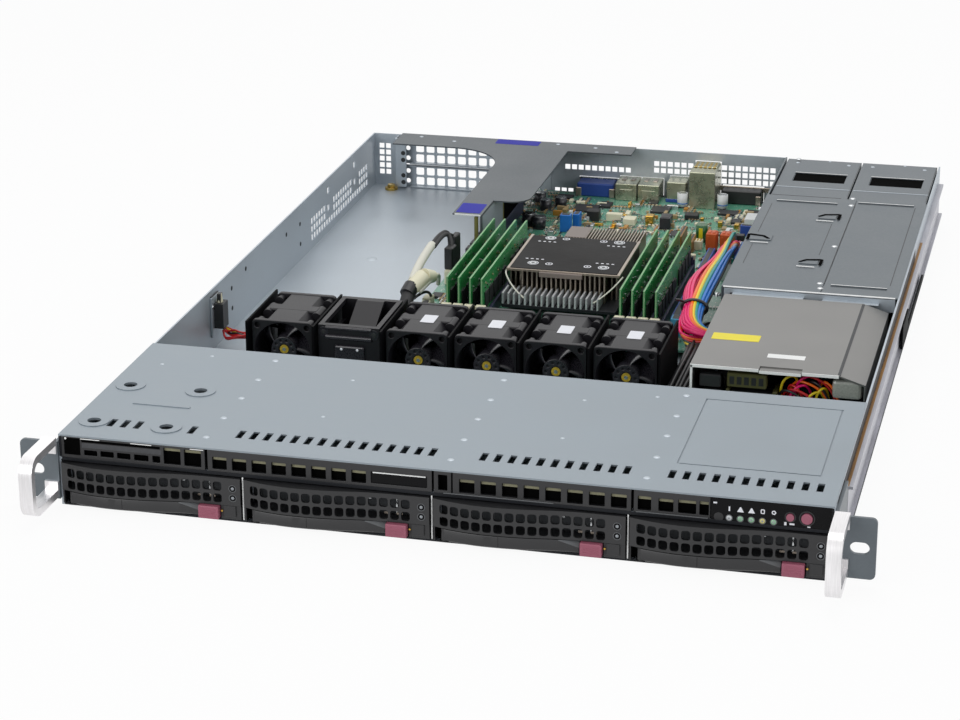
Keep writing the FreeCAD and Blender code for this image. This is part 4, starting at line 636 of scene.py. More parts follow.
class SERVER_OT_ears(bpy.types.Operator):
    """Rack ears, bent handles and slide rails"""
    bl_idname = "server.ears"
    bl_label = "Ears, handles and rails"

    def execute(self, context):
        dress("rack_ears", "chromated_steel", 0.35)
        dress("front_handles", "brushed_aluminium", 0.9, 3)
        dress("slide_rails", "passivated_rail", 0.25)
        low, high = extent("slide_rails")
        edge = Piece("rail_edges")
        # bronze upper lip, painted shade on the lower lip and on the channel over the rail, and the clip of the
        # right-hand rail in painted shade
        for side, end in ((-1, 449), (1, 492)):
            face = sorted((side * (high.x - 0.15), side * (high.x + 0.05)))
            lip = sorted((side * (high.x - 3.9), side * (high.x - 2.2)))
            edge.block(lip, (low.y + 0.5, end - 0.5), (high.z - 2.2, high.z + 0.1), "bronze_rail_edge")
            edge.block(face, (low.y + 0.5, end - 0.5), (low.z + 0.1, low.z + 1.9), "blackened_steel")
            wall = sorted((side * (high.x - 4.05), side * (high.x - 3.9)))
            edge.block(wall, (low.y - 40, end - 40), (high.z + 0.2, 40.6), "blackened_steel")
        edge.block((high.x - 1.2, high.x + 0.05), (336, 480), (9.5, 14), "shaded_nylon", 0.3)
        edge.block((high.x - 1.2, high.x + 0.05), (336, 372), (14, 26), "shaded_nylon", 0.3)
        edge.build("chassis", "rail_steel", edge=0.1)
        return {"FINISHED"}


# ------------------------------------------------------------------ front panel

def bowed(along):
    """How far a carrier's bowed front stands out, at a distance from the carrier's left side."""
    def arc(distance, run, depth):
        radius = (run * run + depth * depth) / (2 * depth)
        return radius - math.sqrt(radius * radius - distance * distance)
    flat, reach, peak, end = 2, 5, 31, 88
    if along >= end:
        return -flat
    half = (end - peak) / 2
    if along <= peak:
        drop = arc(peak - along, peak, reach)
    elif along < peak + half:
        drop = arc(along - peak, half, reach / 2)
    else:
        drop = reach - arc(end - along, half, reach / 2)
    return drop - reach - flat


class SERVER_OT_carriers(bpy.types.Operator):
    """Drive carriers with their vent grids, levers, latches, light pipes and drives"""
    bl_idname = "server.carriers"
    bl_label = "Drive carriers"

    def execute(self, context):
        low, high = extent("drive_carrier_1")
        step = extent("drive_carrier_2")[0].x - low.x
        front = self.front(low, high)
        lever = self.lever(low)
        pipes = self.pipes(low)
        tab = self.tab()
        for bay in range(4):
            number, shift = bay + 1, (bay * step, 0, 0)
            if bay:
                for source, body, slot, stands_for in (
                        (front, "carrier", "black_plastic", "drive_carrier"), (lever, "lever", "black_plastic", "carrier_lever"),
                        (pipes, "carrier", "gloss_black", None), (tab, "latch", "maroon_plastic", "carrier_latch")):
                    name = source.name.rsplit("_", 1)[0]
                    shifted(source, f"{name}_{number}", f"{body}_{number}", shift,
                            [f"{stands_for}_{number}"] if stands_for else ())
            dress(f"hard_drive_{number}", "cast_drive_case", 0.8)
        return {"FINISHED"}

    def front(self, low, high):
        """Moulded front of the first carrier: bowed vent grid, lamp panel, lever well and side rails."""
        front = Piece("carrier_front_1")
        left, right, top = low.x, high.x, high.z
        stations = [left + (right - left) * i / 36 for i in range(37)]
        corner = sizes().hole_corner / MM
        columns = [left] + [left + 3.4 + 6.2 * i for i in range(16)] + [right]

        def window(column, row):
            x, z = left + 4 + 6.2 * (column - 1), (11.4, 18.6)[row]
            return (x, x + 5, z, z + 5.4) if 0 < column < 16 else None

        front.lattice(columns, (10.05, 17.7, top), window, 1.6, "black_abs", corner)
        front.bend(left, bowed)
        # roof and floor of the bow, and its side walls
        for z, thick in ((top - 2, 2), (10.05, 1.2)):
            slab = [(x, bowed(x - left) + 0.04) for x in stations] + [(right, 7), (left, 7)]
            front.plate("XY", z, thick, slab, "black_abs")
        for a, b in ((left, left + 2), (right - 2, right), (left + 97, left + 98.4)):
            front.block((a, b), (-0.5, 7), (11, top - 1), "black_abs")
        # steel bracket and amber contact seen through the last holes, and the drive's pale corner marks
        front.block((left + 86.6, left + 87.4), (3.4, 4), (13, 24.6), "tinned_metal")
        for x in (left + 80, left + 87):
            front.block((x, x + 3.4), (2.6, 3.2), (12.6, 13.8), "pale_bronze")
        for x in (left + 26, left + 71):
            front.block((x, x + 1.6), (2.6, 3), (20.6, 21.2), "tinned_metal", turn=18)
        # lamp panel: dark cups in thin pale rings
        for z in (20.5, 14.8):
            front.bar((left + 102.3, -2.06, z), (left + 102.3, -1, z), 1.95, "polished_abs", 20)
            front.plate("XZ", -2.12, 0.3, circle(left + 102.3, z, 2.25, 24), "worn_abs", [circle(left + 102.3, z, 1.9, 24)])
        # well of the lever and the latch, and the plain block right of the latch
        front.block((left + 94.8, right), (-1.2, 7), (1.5, 10.05), "black_abs", 0.2)
        front.block((left + 96.4, left + 103.8), (-2.1, 0), (3.2, 9.8), "black_abs", 0.25)
        front.bar((left + 95.6, -1.9, 6.5), (left + 95.6, -1, 6.5), 0.55, "gold_plate", 10)
        front.block((left, left + 0.9), (-1.6, 7), (1.5, 10.05), "black_abs", 0.2)
        # painted shade inside the well
        front.block((left + 0.9, left + 4.4), (1.6, 5), (2.1, 9.9), "unlit_duct")
        front.block((left + 3.5, left + 94.8), (5, 7), (1.5, 10.05), "black_abs")
        front.block((left + 3.5, left + 8.9), (-3.6, 5), (1.5, 2.1), "black_abs", 0.2)
        front.bar((left + 6.5, -1.6, 2), (left + 6.5, -1.6, 10.1), 0.9, "steel_screw", 12)
        # steel side rails with their drive screws
        for a, b in ((left, left + 2.6), (right - 2.6, right)):
            front.block((a, b), (7, 150.4), (1.5, 19.5), "galvanised_steel", 0.3)
        return front.build("carrier_1", "black_plastic", ["drive_carrier_1"], 0.14)

    def lever(self, carrier):
        """Handle that carries on the bow under the grid, with a scooped finger ramp at its free end."""
        bar = Piece("lever_handle_1")
        low, high = extent("carrier_lever_1")
        start, stop, ramp = low.x + 2, high.x, high.x - 11
        spots = [start + (stop - start) * i / 40 for i in range(41)]
        rings = []
        for x in spots:
            bow, scoop = bowed(x - carrier.x), 3.5 * max(0, x - ramp) / (stop - ramp)
            section = ((1.0, 0), (0.0, 0.9), (0.0, 6.75 - scoop), (0.25 + 0.75 * scoop, 7.15 - 0.1 * scoop),
                       (3.0, 7.15 - 0.1 * scoop), (3.0, 0))
            rings.append([bar.mesh.verts.new((x, bow + y, low.z + z)) for y, z in section])
        count = 6
        for i in range(count):
            faces = [bar.mesh.faces.new((a[i], b[i], b[(i + 1) % count], a[(i + 1) % count])) for a, b in zip(rings, rings[1:])]
            bar.finish_faces(faces, "black_abs", True)
            # the upper chamfer near the free end is paler: a painted highlight on the ramp
            if i == 2:
                bar.finish_faces([face for face, x in zip(faces, spots) if x >= ramp - 1], "worn_abs", True)
        bar.finish_faces([bar.mesh.faces.new(rings[0]), bar.mesh.faces.new(list(reversed(rings[-1])))], "black_abs")
        bar.crease()
        bar.bar((low.x + 2, -1.6, low.z), (low.x + 2, -1.6, high.z), 2, "black_abs", 20)
        # witness line where the two halves of the moulding meet
        seam = carrier.x + 37.5
        bar.block((seam, seam + 0.25), (bowed(37.5) - 0.03, bowed(37.5) + 0.3), (low.z + 1, low.z + 6.9), "polished_abs")
        return bar.build("lever_1", "black_plastic", ["carrier_lever_1"], 0.12)

    def pipes(self, low):
        """Ends of the two light pipes, drawn as pale domes that are a painted highlight."""
        pipes = Piece("light_pipes_1")
        for z in (20.5, 14.8):
            pipes.dome((low.x + 102.3, -2.05, z), 0.95, 0.5, "light_pipe", (0, -1, 0))
        return pipes.build("carrier_1", "gloss_black")

    def tab(self):
        """Maroon release latch with three grip ribs."""
        low, high = extent("carrier_latch_1")
        tab = Piece("release_latch_1")
        tab.block((low.x, high.x), (low.y + 0.3, high.y), (low.z, high.z), "maroon_abs", 0.5, 2)
        for step in range(3):
            z = low.z + 2 + 1.7 * step
            tab.block((low.x + 1.6, high.x - 1.6), (low.y, low.y + 0.5), (z, z + 0.6), "maroon_abs", 0.2)
        return tab.build("latch_1", "maroon_plastic", ["carrier_latch_1"])


class SERVER_OT_bezel(bpy.types.Operator):
    """Upper bezel with its openings, seams and bare name recess"""
    bl_idname = "server.bezel"
    bl_label = "Upper bezel"

    def execute(self, context):
        low, high = extent("upper_bezel")
        bezel = Piece("bezel_strip")
        # windows of each length of the bezel: (from, to, bottom, top) of every opening
        windows = [(-203.3, -195.4, 31.4, 34.6), (-193.4, -185.4, 31.4, 34.8), (-183.4, -175.4, 31.3, 34.8),
                   (-173.2, -164.6, 31.2, 34.8), (-162.2, -157.6, 31.0, 35.0), (-155.4, -145.4, 30.9, 40.6), (-143.2, -133.2, 30.8, 40.6)]
        windows += [(-126.6 + 11.55 * i, -118.2 + 11.55 * i, 30.7, 37.9) for i in range(8)]
        windows += [(15.4 + 12.0 * i, 24.0 + 12.0 * i, 30.5, 38.4) for i in range(8)]
        windows += [(114, 121.2, 30.6, 38.6), (125.2, 133.2, 31, 38.2), (135.8, 145.4, 31, 38.6), (147.2, 152.2, 31, 38.8)]
        spans = ((low.x, -131.0), (-129.4, 0.1), (1.2, 11.0), (11.8, 110.4), (111.8, high.x))
        name = rounded(-34.6, -2.6, 31.2, 38.2, 0.6)
        for a, b in spans:
            inner = [rounded(x0, x1, z0, z1, 0.5) for x0, x1, z0, z1 in windows if a < x0 < b]
            if a < name[0][0] < b:
                inner.append(name)
            if a == 1.2:
                inner.append(rounded(3.6, 8.8, 30.9, 40, 0.4))
            bezel.plate("XZ", 0, 1.4, rounded(a, b, low.z, high.z, 0.4), "black_abs", inner, rim=0.2)
            bezel.block((a, b), (1.4, 4), (high.z - 1.0, high.z), "black_abs")
            bezel.block((a, b), (1.4, 4), (low.z, low.z + 1.0), "black_abs")
        # painted shade behind the windows, and on each window's roof painted olive light where the window is tall,
        # painted shade where it is low
        bezel.block((low.x + 0.4, high.x - 0.2), (3.7, 4), (low.z + 0.6, high.z - 0.6), "unlit_duct")
        for x0, x1, z0, z1 in windows:
            bezel.block((x0, x1), (2.6, 3.6), (z0 + 0.1, z1 - 0.1), "unlit_duct")
            roof = min(2.2, 0.3 * (z1 - z0))
            shade = "smoked_duct" if z1 > 36 else "unlit_duct"
            bezel.block((x0 + 0.1, x1 - 0.1), (1.6, 2.7), (z1 - roof, z1 + 0.3), shade)
        # sloped shelf over the low windows, painted shade above it and in the open end box left of them
        bezel.block((-204.4, -156.6), (-0.12, 0.3), (36.0, 38.8), "worn_duct", 0.15)
        bezel.block((-204.6, -157.4), (-0.05, 0.3), (39.3, 40.9), "unlit_duct")
        bezel.block((-215.2, -205.4), (-0.05, 0.3), (31.2, 41.4), "unlit_duct")
        # painted highlights along the top edge over the low windows, and a painted glint at the left end
        for a, b in ((-205.2, -193.6), (-175, -162.4), (-139.6, -131.6)):
            bezel.block((a, b), (-0.2, 0.2), (41.0, 41.5), "cut_steel_edge", 0.1)
        bezel.dome((-214.2, -0.05, 40.8), 0.7, 0.2, "cut_steel_edge", (0, -1, 0), 10)
        # bare name recess with a painted highlight on its upper lip
        bezel.block((-34.6, -2.6), (0.7, 1.4), (31.0, 38.4), "polished_abs", 0.2)
        bezel.block((-33.6, -3.4), (0.1, 0.9), (37.2, 37.9), "cut_steel_edge", 0.15)
        # painted shade on the sill over the bays and under them, and on the end caps
        for z in ((27.3, 29.3), (0.05, 1.35)):
            bezel.block((-216.8, 216.8), (-0.35, 0.1), z, "blackened_steel", 0.1)
        for x in ((-218.4, -216.9), (217.1, 218.4)):
            bezel.block(x, (-0.3, 1.2), (29.5, 41.9), "blackened_steel", 0.3)
        # painted highlights on the edges of the bay dividers, with painted shade in a gap on each side
        for x in (-109, 0, 109):
            bezel.block((x - 1.0, x + 1.0), (-0.1, 0.1), (1.4, 27.3), "unlit_duct")
            bezel.block((x - 0.42, x + 0.42), (-0.4, -0.05), (1.4, 27.3), "cut_steel_edge", 0.1)
        # proud lip under the third and fourth lengths, pale as a painted highlight
        for a, b in ((6.5, 68), (113, 152)):
            bezel.block((a, b), (-0.5, 0.3), (low.z + 0.05, low.z + 0.7), "worn_abs", 0.2)
        bezel.build("chassis", "black_plastic", ["upper_bezel"], 0.1)
        return {"FINISHED"}


class SERVER_OT_panel(bpy.types.Operator):
    """Control panel with its lamps, plain marks and two buttons"""
    bl_idname = "server.panel"
    bl_label = "Control panel"

    def execute(self, context):
        dress("control_panel", "polished_abs", 0.3)
        dress("power_button", "maroon_abs", 0.35)
        dress("reset_button", "maroon_abs", 0.3)
        low, _ = extent("control_panel")
        panel = Piece("panel_lamps")
        for index, finish in enumerate(("white_lamp", "green_lamp", "green_lamp", "amber_lamp", "green_lamp")):
            x = 163.2 + 5.9 * index
            panel.bar((x, low.y - 0.35, 31), (x, low.y + 0.2, 31), 1.9, "worn_abs", 20)
            panel.dome((x, low.y - 0.34, 31), 1.45, 0.4, finish, (0, -1, 0))
            # a small pale dot on each lamp: a painted glint
            panel.dome((x, low.y - 0.7, 31), 0.55, 0.2, "light_pipe", (0, -1, 0), 10)
            # plain mark over each lamp: a bar, two wedges, a tablet and a dot
            if index == 0:
                panel.block((x - 0.4, x + 0.4), (-0.08, 0.05), (34.9, 37.5), "label_paper")
            elif index in (1, 2):
                panel.plate("XZ", -0.08, 0.12, [(x - 1.8, 34.8), (x + 1.8, 34.8), (x + 0.3, 37.6), (x - 0.3, 37.6)], "label_paper")
            elif index == 3:
                panel.plate("XZ", -0.08, 0.12, rounded(x - 1.1, x + 1.1, 35, 37.6, 0.5), "label_paper",
                            [rounded(x - 0.6, x + 0.6, 35.5, 37.1, 0.3)])
            else:
                panel.plate("XZ", -0.08, 0.12, circle(x, 36.3, 1.2, 14), "label_paper", [circle(x, 36.3, 0.6, 10)])
        for x, z, r in ((204.3, 34.6, 4.2), (195.5, 34.6, 3.0)):
            panel.plate("XZ", -0.12, 0.2, circle(x, z, r, 28), "black_abs", [circle(x, z, r - 0.55, 28)])
        # dark lamp without a lens, two plain ticks by the buttons, and a worn corner
        panel.bar((157.6, -0.2, 31), (157.6, 0.2, 31), 2.6, "black_abs", 20)
        panel.block((154.6, 157.4), (-0.08, 0.05), (38.6, 39.5), "label_paper", turn=8)
        panel.block((192.4, 193.6), (-0.08, 0.05), (29.8, 31.6), "label_paper")
        panel.block((195.2, 197.8), (-0.08, 0.05), (30.2, 31.2), "label_paper")
        panel.block((204.6, 206.2), (-0.08, 0.05), (29.6, 30.2), "label_paper")
        panel.build("chassis", "gloss_black", edge=0.05)
        return {"FINISHED"}


# ------------------------------------------------------------------ fans

class SERVER_OT_fans(bpy.types.Operator):
    """Twin-rotor fans, the open dummy and the plates between them"""
    bl_idname = "server.fans"
    bl_label = "Fans"

    def execute(self, context):
        dress("fan_partitions", "shaded_nylon", 0.2)
        dress("fan_blank", "nylon_fan", 0.4)
        low, high = extent("fan_frame_1")
        frame_one = self.shell(low, high)
        rotors = [self.rotor(side, *extent(f"fan_{side}_rotor_1")) for side in ("front", "rear")]
        labels = None
        for fan in range(2, 6):
            shift = (extent(f"fan_frame_{fan}")[0].x - low.x, 0, 0)
            shifted(frame_one, f"fan_shell_{fan}", "chassis", shift, [f"fan_frame_{fan}"])
            for side, rotor in zip(("front", "rear"), rotors):
                shifted(rotor, f"{side}_impeller_{fan}", f"{side}_rotor_{fan}", shift, [f"fan_{side}_rotor_{fan}"])
            if labels is None:
                label = Piece("fan_label_2")
                x, y = shift[0] + (low.x + high.x) / 2 + 1.5, (low.y + high.y) / 2
                label.plate("XY", high.z - 0.15, 0.14, rounded(x - 4.5, x + 4.5, y - 9, y + 5, 0.6), "label_paper")
                labels, start = label.build("chassis", "fan_plastic"), shift[0]
            else:
                shifted(labels, f"fan_label_{fan}", "chassis", (shift[0] - start, 0, 0))
        self.dummy(*extent("fan_blank"))
        return {"FINISHED"}

    def shell(self, low, high):
        """Square flanges with screw bosses round a barrel that is waisted between them."""
        shell = Piece("fan_shell_1")
        cx, cz = (low.x + high.x) / 2, (low.z + high.z) / 2
        bore = circle(cx, cz, 18.6, 48)
        corners = [(cx + sx * 16.4, cz + sz * 16.4) for sx in (-1, 1) for sz in (-1, 1)]
        square = rounded(low.x, high.x, low.z, high.z, 3, 4)
        for start, thick in ((low.y, 3.4), (high.y - 3.4, 3.4)):
            shell.plate("XZ", start, thick, square, "nylon_fan", [bore, *[circle(x, z, 1.9, 14) for x, z in corners]], rim=0.4)
        middle = (low.y + high.y) / 2
        waist = [(cx + 19.7 * x, cz + 19.7 * z) for x, z in (
            (0.5, 1), (1, 0.5), (1, -0.5), (0.5, -1), (-0.5, -1), (-1, -0.5), (-1, 0.5), (-0.5, 1))]
        shell.plate("XZ", low.y + 3.4, high.y - low.y - 6.8, waist, "nylon_fan", [bore], rim=0.5)
        belt = [(cx + 19.8 * x, cz + 19.8 * z) for x, z in (
            (0.78, 1), (1, 0.78), (1, -0.78), (0.78, -1), (-0.78, -1), (-1, -0.78), (-1, 0.78), (-0.78, 1))]
        shell.plate("XZ", middle - 5, 10, belt, "nylon_fan", [bore], rim=0.8)
        for x, z in corners:
            for start, end in ((low.y + 3, low.y + 10), (high.y - 10, high.y - 3)):
                shell.bar((x, start, z), (x, end, z), 3.1, "nylon_fan", 14, 2.4)
            shell.bar((x * 0.985 + cx * 0.015, middle - 7, z * 0.985 + cz * 0.015),
                      (x * 0.985 + cx * 0.015, middle + 7, z * 0.985 + cz * 0.015), 3.4, "nylon_fan", 14)
        # raised field on the top that carries the label
        shell.plate("XY", high.z - 1.6, 0.5, [(cx - 9, low.y + 3), (cx + 9, low.y + 3), (cx + 7, high.y - 3), (cx - 7, high.y - 3)],
                    "nylon_fan", rim=0.2)
        shell.bar((cx, middle - 2.8, cz), (cx, middle + 2.8, cz), 8.4, "nylon_fan", 32)
        for angle in range(0, 360, 45):
            a = math.radians(angle + 10)
            shell.bar((cx + 8 * math.cos(a), middle, cz + 8 * math.sin(a)),
                      (cx + 18.8 * math.cos(a + 0.25), middle, cz + 18.8 * math.sin(a + 0.25)), 1.1, "nylon_fan", 6)
        return shell.build("chassis", "fan_plastic", ["fan_frame_1"], 0.25)

    def rotor(self, side, low, high):
        """Hub with a drilled face and a yellow core, and five scooped blades."""
        sense = 1 if side == "front" else -1
        rotor = Piece(f"{side}_impeller_1")
        cx, cz = -155.0, 21.0
        face, back = (218.3, 239.6) if side == "front" else (268.5, 247.2)
        way = 1 if back > face else -1
        rotor.bar((cx, face + way * 1.2, cz), (cx, back, cz), 8.4, "nylon_rotor", 36)
        rotor.plate("XZ", min(face, face + way * 1.2), 1.2, circle(cx, cz, 8.3, 36), "nylon_rotor",
                    [circle(cx + 6.1 * math.cos(a), cz + 6.1 * math.sin(a), 1.05, 10)
                     for a in [math.radians(36 * i) for i in range(10)]] + [circle(cx, cz, 3.7, 20)], rim=0.25)
        rotor.bar((cx, face + way * 0.5, cz), (cx, face + way * 1.6, cz), 2.9, "yellow_rotor_core", 12)
        rotor.bar((cx, face + way * 0.2, cz), (cx, face + way * 1.0, cz), 1.2, "tinned_metal", 10)
        spans, reaches = 8, 6
        for blade in range(5):
            sides = []
            for lift in (-0.4, 0.4):
                grid = []
                for i in range(spans + 1):
                    along = i / spans
                    row = []
                    for j in range(reaches + 1):
                        out = j / reaches
                        radius = 8.2 + (17.7 - 8.2) * out
                        angle = 2 * math.pi * blade / 5 + sense * (1.15 * along - 0.35 * out * (1 - along) - 0.2 * along ** 2)
                        y = 219.2 + 20.0 * along if side == "front" else 247.5 + 20.0 * along
                        row.append(rotor.mesh.verts.new((cx + radius * math.cos(angle) + lift * math.sin(angle),
                                                         y + 1.6 * out * (1 - 2 * along) + lift * 0.5,
                                                         cz + radius * math.sin(angle) - lift * math.cos(angle))))
                    grid.append(row)
                sides.append(grid)
            a, b = sides
            faces = []
            for i in range(spans):
                for j in range(reaches):
                    faces.append(rotor.mesh.faces.new((a[i][j], a[i + 1][j], a[i + 1][j + 1], a[i][j + 1])))
                    faces.append(rotor.mesh.faces.new((b[i][j], b[i][j + 1], b[i + 1][j + 1], b[i + 1][j])))
                faces.append(rotor.mesh.faces.new((a[i][-1], a[i + 1][-1], b[i + 1][-1], b[i][-1])))
            for j in range(reaches):
                faces.append(rotor.mesh.faces.new((a[0][j], a[0][j + 1], b[0][j + 1], b[0][j])))
                faces.append(rotor.mesh.faces.new((a[-1][j + 1], a[-1][j], b[-1][j], b[-1][j + 1])))
            rotor.finish_faces(faces, "nylon_rotor", True)
        bmesh.ops.recalc_face_normals(rotor.mesh, faces=rotor.mesh.faces)
        return rotor.build(f"{side}_rotor_1", "fan_plastic", [f"fan_{side}_rotor_1"])

    def dummy(self, low, high):
        """Front bar, bosses and finger tab of the open dummy."""
        dummy = Piece("dummy_front")
        for x in (low.x + 3.5, high.x - 3.5):
            for y in (low.y, high.y - 2):
                dummy.bar((x, y - 0.4, high.z - 4.5), (x, y + 3, high.z - 4.5), 3.4, "nylon_rotor", 18, 3)
                dummy.bar((x, y - 0.6, high.z - 4.5), (x, y - 0.2, high.z - 4.5), 1.5, "black_abs", 12)
        for level, thick in ((high.z - 7.5, 1.5), (high.z - 1.4, 1.2)):
            dummy.bar((low.x + 5, low.y - 0.2, level), (high.x - 5, low.y - 0.2, level), thick, "nylon_rotor", 12)
            dummy.bar((low.x + 5, high.y - 1, level), (high.x - 5, high.y - 1, level), thick, "nylon_rotor", 12)
        # finger tab, held by two small screws
        dummy.block((-120, -100.5), (low.y - 2, low.y + 0.2), (12, 28.5), "nylon_rotor", 1.1, 2)
        for x in (-115.4, -104.9):
            dummy.dome((x, low.y - 2, 26.3), 0.9, 0.5, "label_paper", (0, -1, 0), 12)
        dummy.build("chassis", "fan_plastic", edge=0.2)


# ------------------------------------------------------------------ main board

class SERVER_OT_board(bpy.types.Operator):
    """Main board with its chips, sockets, headers, coils and capacitors"""
    bl_idname = "server.board"
    bl_label = "Main board"

    def execute(self, context):
        low, high = extent("motherboard")
        top = low.z + 1.6
        board = Piece("board_assembly")
        holes = [circle(low.x + 12 + 89.5 * i, low.y + 12 + 102 * j, 1.6, 12) for i in range(3) for j in range(4)]
        board.plate("XY", low.z, 1.6, rounded(low.x, high.x, low.y, high.y, 1.5), "fr4_board", holes, rim=0.1)
        for i in range(3):
            for j in range(4):
                x, y = low.x + 12 + 89.5 * i, low.y + 12 + 102 * j
                board.plate("XY", top, 0.05, circle(x, y, 4, 20), "tinned_metal", [circle(x, y, 1.6, 12)])
                board.dome((x, y, top + 0.05), 3, 1.6, "steel_screw")
        self.fixtures(board, top)
        self.chips(board, top)
        self.small_parts(board, top, low, high)
        # upper flange of the connectors' shield along the rear edge
        board.block((34, 97), (646.6, 647.4), (14.2, 17.8), "pale_bronze", 0.2)
        board.build("chassis", "board_green", ["motherboard"])
        return {"FINISHED"}

    def fixtures(self, board, top):
        """The parts that stand tall: sockets, headers, caps and coils."""
        # processor socket frame and its load plate
        board.block((-40, 28), (372, 448), (top, top + 6), "slate_nylon", 0.4)
        board.block((-42, 30), (368, 452), (top + 1, top + 2), "tinned_metal", 0.3)
        # upright storage connectors in orange, latched at their tops
        for x in (70.6, 80.8):
            board.block((x - 3.6, x + 3.6), (512, 518.5), (top, top + 4), "black_abs", 0.3)
            board.block((x - 4, x + 4), (511.5, 520.5), (top + 3.5, top + 16), "orange_nylon", 0.7)
            board.block((x - 2.6, x - 0.6), (513, 519), (top + 15.8, top + 16.6), "orange_nylon", 0.2)
            board.block((x + 0.6, x + 2.6), (513, 519), (top + 15.8, top + 16.6), "orange_nylon", 0.2)
            board.block((x - 3, x - 1.6), (511.2, 512), (top + 6, top + 14), "orange_nylon", 0.2)
            board.block((x + 1.6, x + 3), (511.2, 512), (top + 6, top + 14), "orange_nylon", 0.2)
        # two by twelve power connector under the loom
        board.block((86.5, 97), (457, 511), (top, top + 12), "white_nylon", 0.4)
        for i in range(12):
            for x in (88.9, 94.3):
                board.block((x - 1.8, x + 1.8), (459 + 4.2 * i, 462.4 + 4.2 * i), (top + 11.6, top + 12.6), "black_abs", 0.3)
        # smaller capacitors with their stripes, and the striped one behind the memory
        for x, y, r, h in ((31, 622, 4, 11), (61, 624, 4, 11), (-71.9, 553, 5, 9), (-62.8, 547, 5, 9),
                           (-67.9, 593, 4.4, 8), (-58, 601, 4.4, 8), (-76, 610, 4.4, 8), (20, 494, 4, 8), (-30, 480, 4, 8)):
            tall = h > 10
            board.bar((x, y, top), (x, y, top + h), r, "electrolytic_sleeve" if not tall else "white_nylon", 22)
            board.bar((x, y, top + h - 0.05), (x, y, top + h + 0.25), r * 0.86, "tinned_metal", 22)
            board.block((x - r * 0.8, x + r * 0.8), (y - 0.25, y + 0.25), (top + h + 0.2, top + h + 0.35), "epoxy_chip")
            board.block((x - r * 0.8, x + r * 0.8), (y - r, y + r), (top, top + 1.2), "epoxy_chip", 0.2)
            if tall:
                board.bar((x, y, top + 3), (x, y, top + 3.8), r + 0.06, "blue_insulation", 22)
        board.bar((59, 542, top), (59, 542, top + 12.8), 4.4, "green_sleeve", 22, 4.1)
        board.block((57.4, 60.2), (537.5, 538.4), (top + 0.4, top + 11), "yellow_ink", 0.2)
        board.block((53.5, 62.5), (520, 527), (top, top + 7), "cream_nylon", 0.4)
        for i in range(4):
            board.block((54.4 + 2.1 * i, 55.6 + 2.1 * i), (521, 526), (top + 6.8, top + 7.3), "gold_plate")
        # blue and black headers behind the processor
        for x, y, w, d, h, finish in (
                (-46, 541, 8, 6, 13, "blue_insulation"), (-38.5, 551, 5, 9, 11, "blue_insulation"),
                (-32, 571, 9, 8, 8, "black_abs"), (-18, 574, 12, 5, 6, "cream_nylon"), (-4, 567, 9, 9, 5, "cream_nylon"),
                (-10, 580, 6, 6, 4, "gold_plate"), (12, 571, 6, 7, 7, "gold_plate"), (24, 563, 8, 12, 9, "electrolytic_sleeve"),
                (38, 590, 10, 8, 4, "epoxy_chip"), (-90, 500, 7, 84, 11, "slate_nylon"), (44, 522, 3.5, 26, 9, "bronze_rail_edge"),
                (53.5, 500, 3.5, 30, 9, "bronze_rail_edge"), (-98, 322, 6, 10, 9, "cream_nylon"), (-98, 336, 6, 10, 9, "cream_nylon"),
                (-70, 315.5, 14, 6, 8, "cream_nylon"), (-20, 315.5, 14, 6, 8, "cream_nylon"), (26, 315.5, 14, 6, 8, "cream_nylon"),
                (72, 338, 8, 9, 12, "pale_blue_nylon"), (70, 349, 6, 34, 9, "blue_nylon"), (70, 388, 6, 52, 9, "blue_nylon"),
                (70.5, 455, 5, 46, 9, "blue_nylon"), (84, 560, 12, 5, 8, "blue_nylon"), (84, 580, 8, 16, 7, "white_nylon"),
                (-60, 497, 10, 10, 4, "tinned_metal"), (72, 540, 18, 5, 7, "black_abs")):
            board.block((x, x + w), (y, y + d), (top, top + h), finish, 0.35)
            if h > 7 and w < 16:
                board.block((x + 1, x + w - 1), (y + 1, y + d - 1), (top + h - 0.1, top + h + 0.25), "black_abs", 0.2)
        # coil row of the processor's supply, with its slotted cooler behind
        for i in range(6):
            board.block((-42 + 11.6 * i, -33 + 11.6 * i), (486, 495), (top, top + 6), "ferrite_coil", 0.6)
        for i in range(4):
            board.block((-100 + 0.2, -92), (470 + 13 * i, 479 + 13 * i), (top, top + 6), "ferrite_coil", 0.6)

    def chips(self, board, top):
        """Square and oblong chips with rows of legs."""
        for x, y, w, d in ((-47, 591, 18, 16), (60, 606, 15, 10), (66, 496, 9, 8), (-30, 605, 9, 12), (10, 600, 14, 14), (34, 545, 12, 12),
                           (-12, 540, 12, 12), (-26, 520, 10, 8), (80, 610, 12, 10), (5, 620, 7, 9), (-98, 600, 12, 12),
                           (-66, 620, 12, 9), (-90, 452, 10, 10), (70, 586, 10, 10), (34, 500, 8, 8), (-100, 375, 7, 9)):
            board.block((x, x + w), (y, y + d), (top + 0.25, top + 1.9), "epoxy_chip", 0.15)
            board.block((x + 0.8, x + 1.6), (y + 0.8, y + 1.6), (top + 1.88, top + 1.93), "label_paper")
            for i in range(int(w / 1.1)):
                a = x + 0.5 + i * 1.1
                board.block((a, a + 0.5), (y - 1.1, y + d + 1.1), (top + 0.05, top + 0.4), "tinned_metal")
        # rows of pale pin headers and shunts between the chips
        pick = random.Random(8)
        for i in range(64):
            x, y = pick.uniform(-70, 96), pick.uniform(520, 615)
            across = pick.random() < 0.5
            w, d = (pick.uniform(3, 9), pick.uniform(1.8, 3.6))[::1 if across else -1]
            finish = ("cream_nylon", "white_nylon", "ceramic_cap", "tinned_metal", "tantalum_cap", "gold_plate")[i % 6]
            board.block((x, x + w), (y, y + d), (top, top + pick.uniform(1.5, 5)), finish, 0.2)

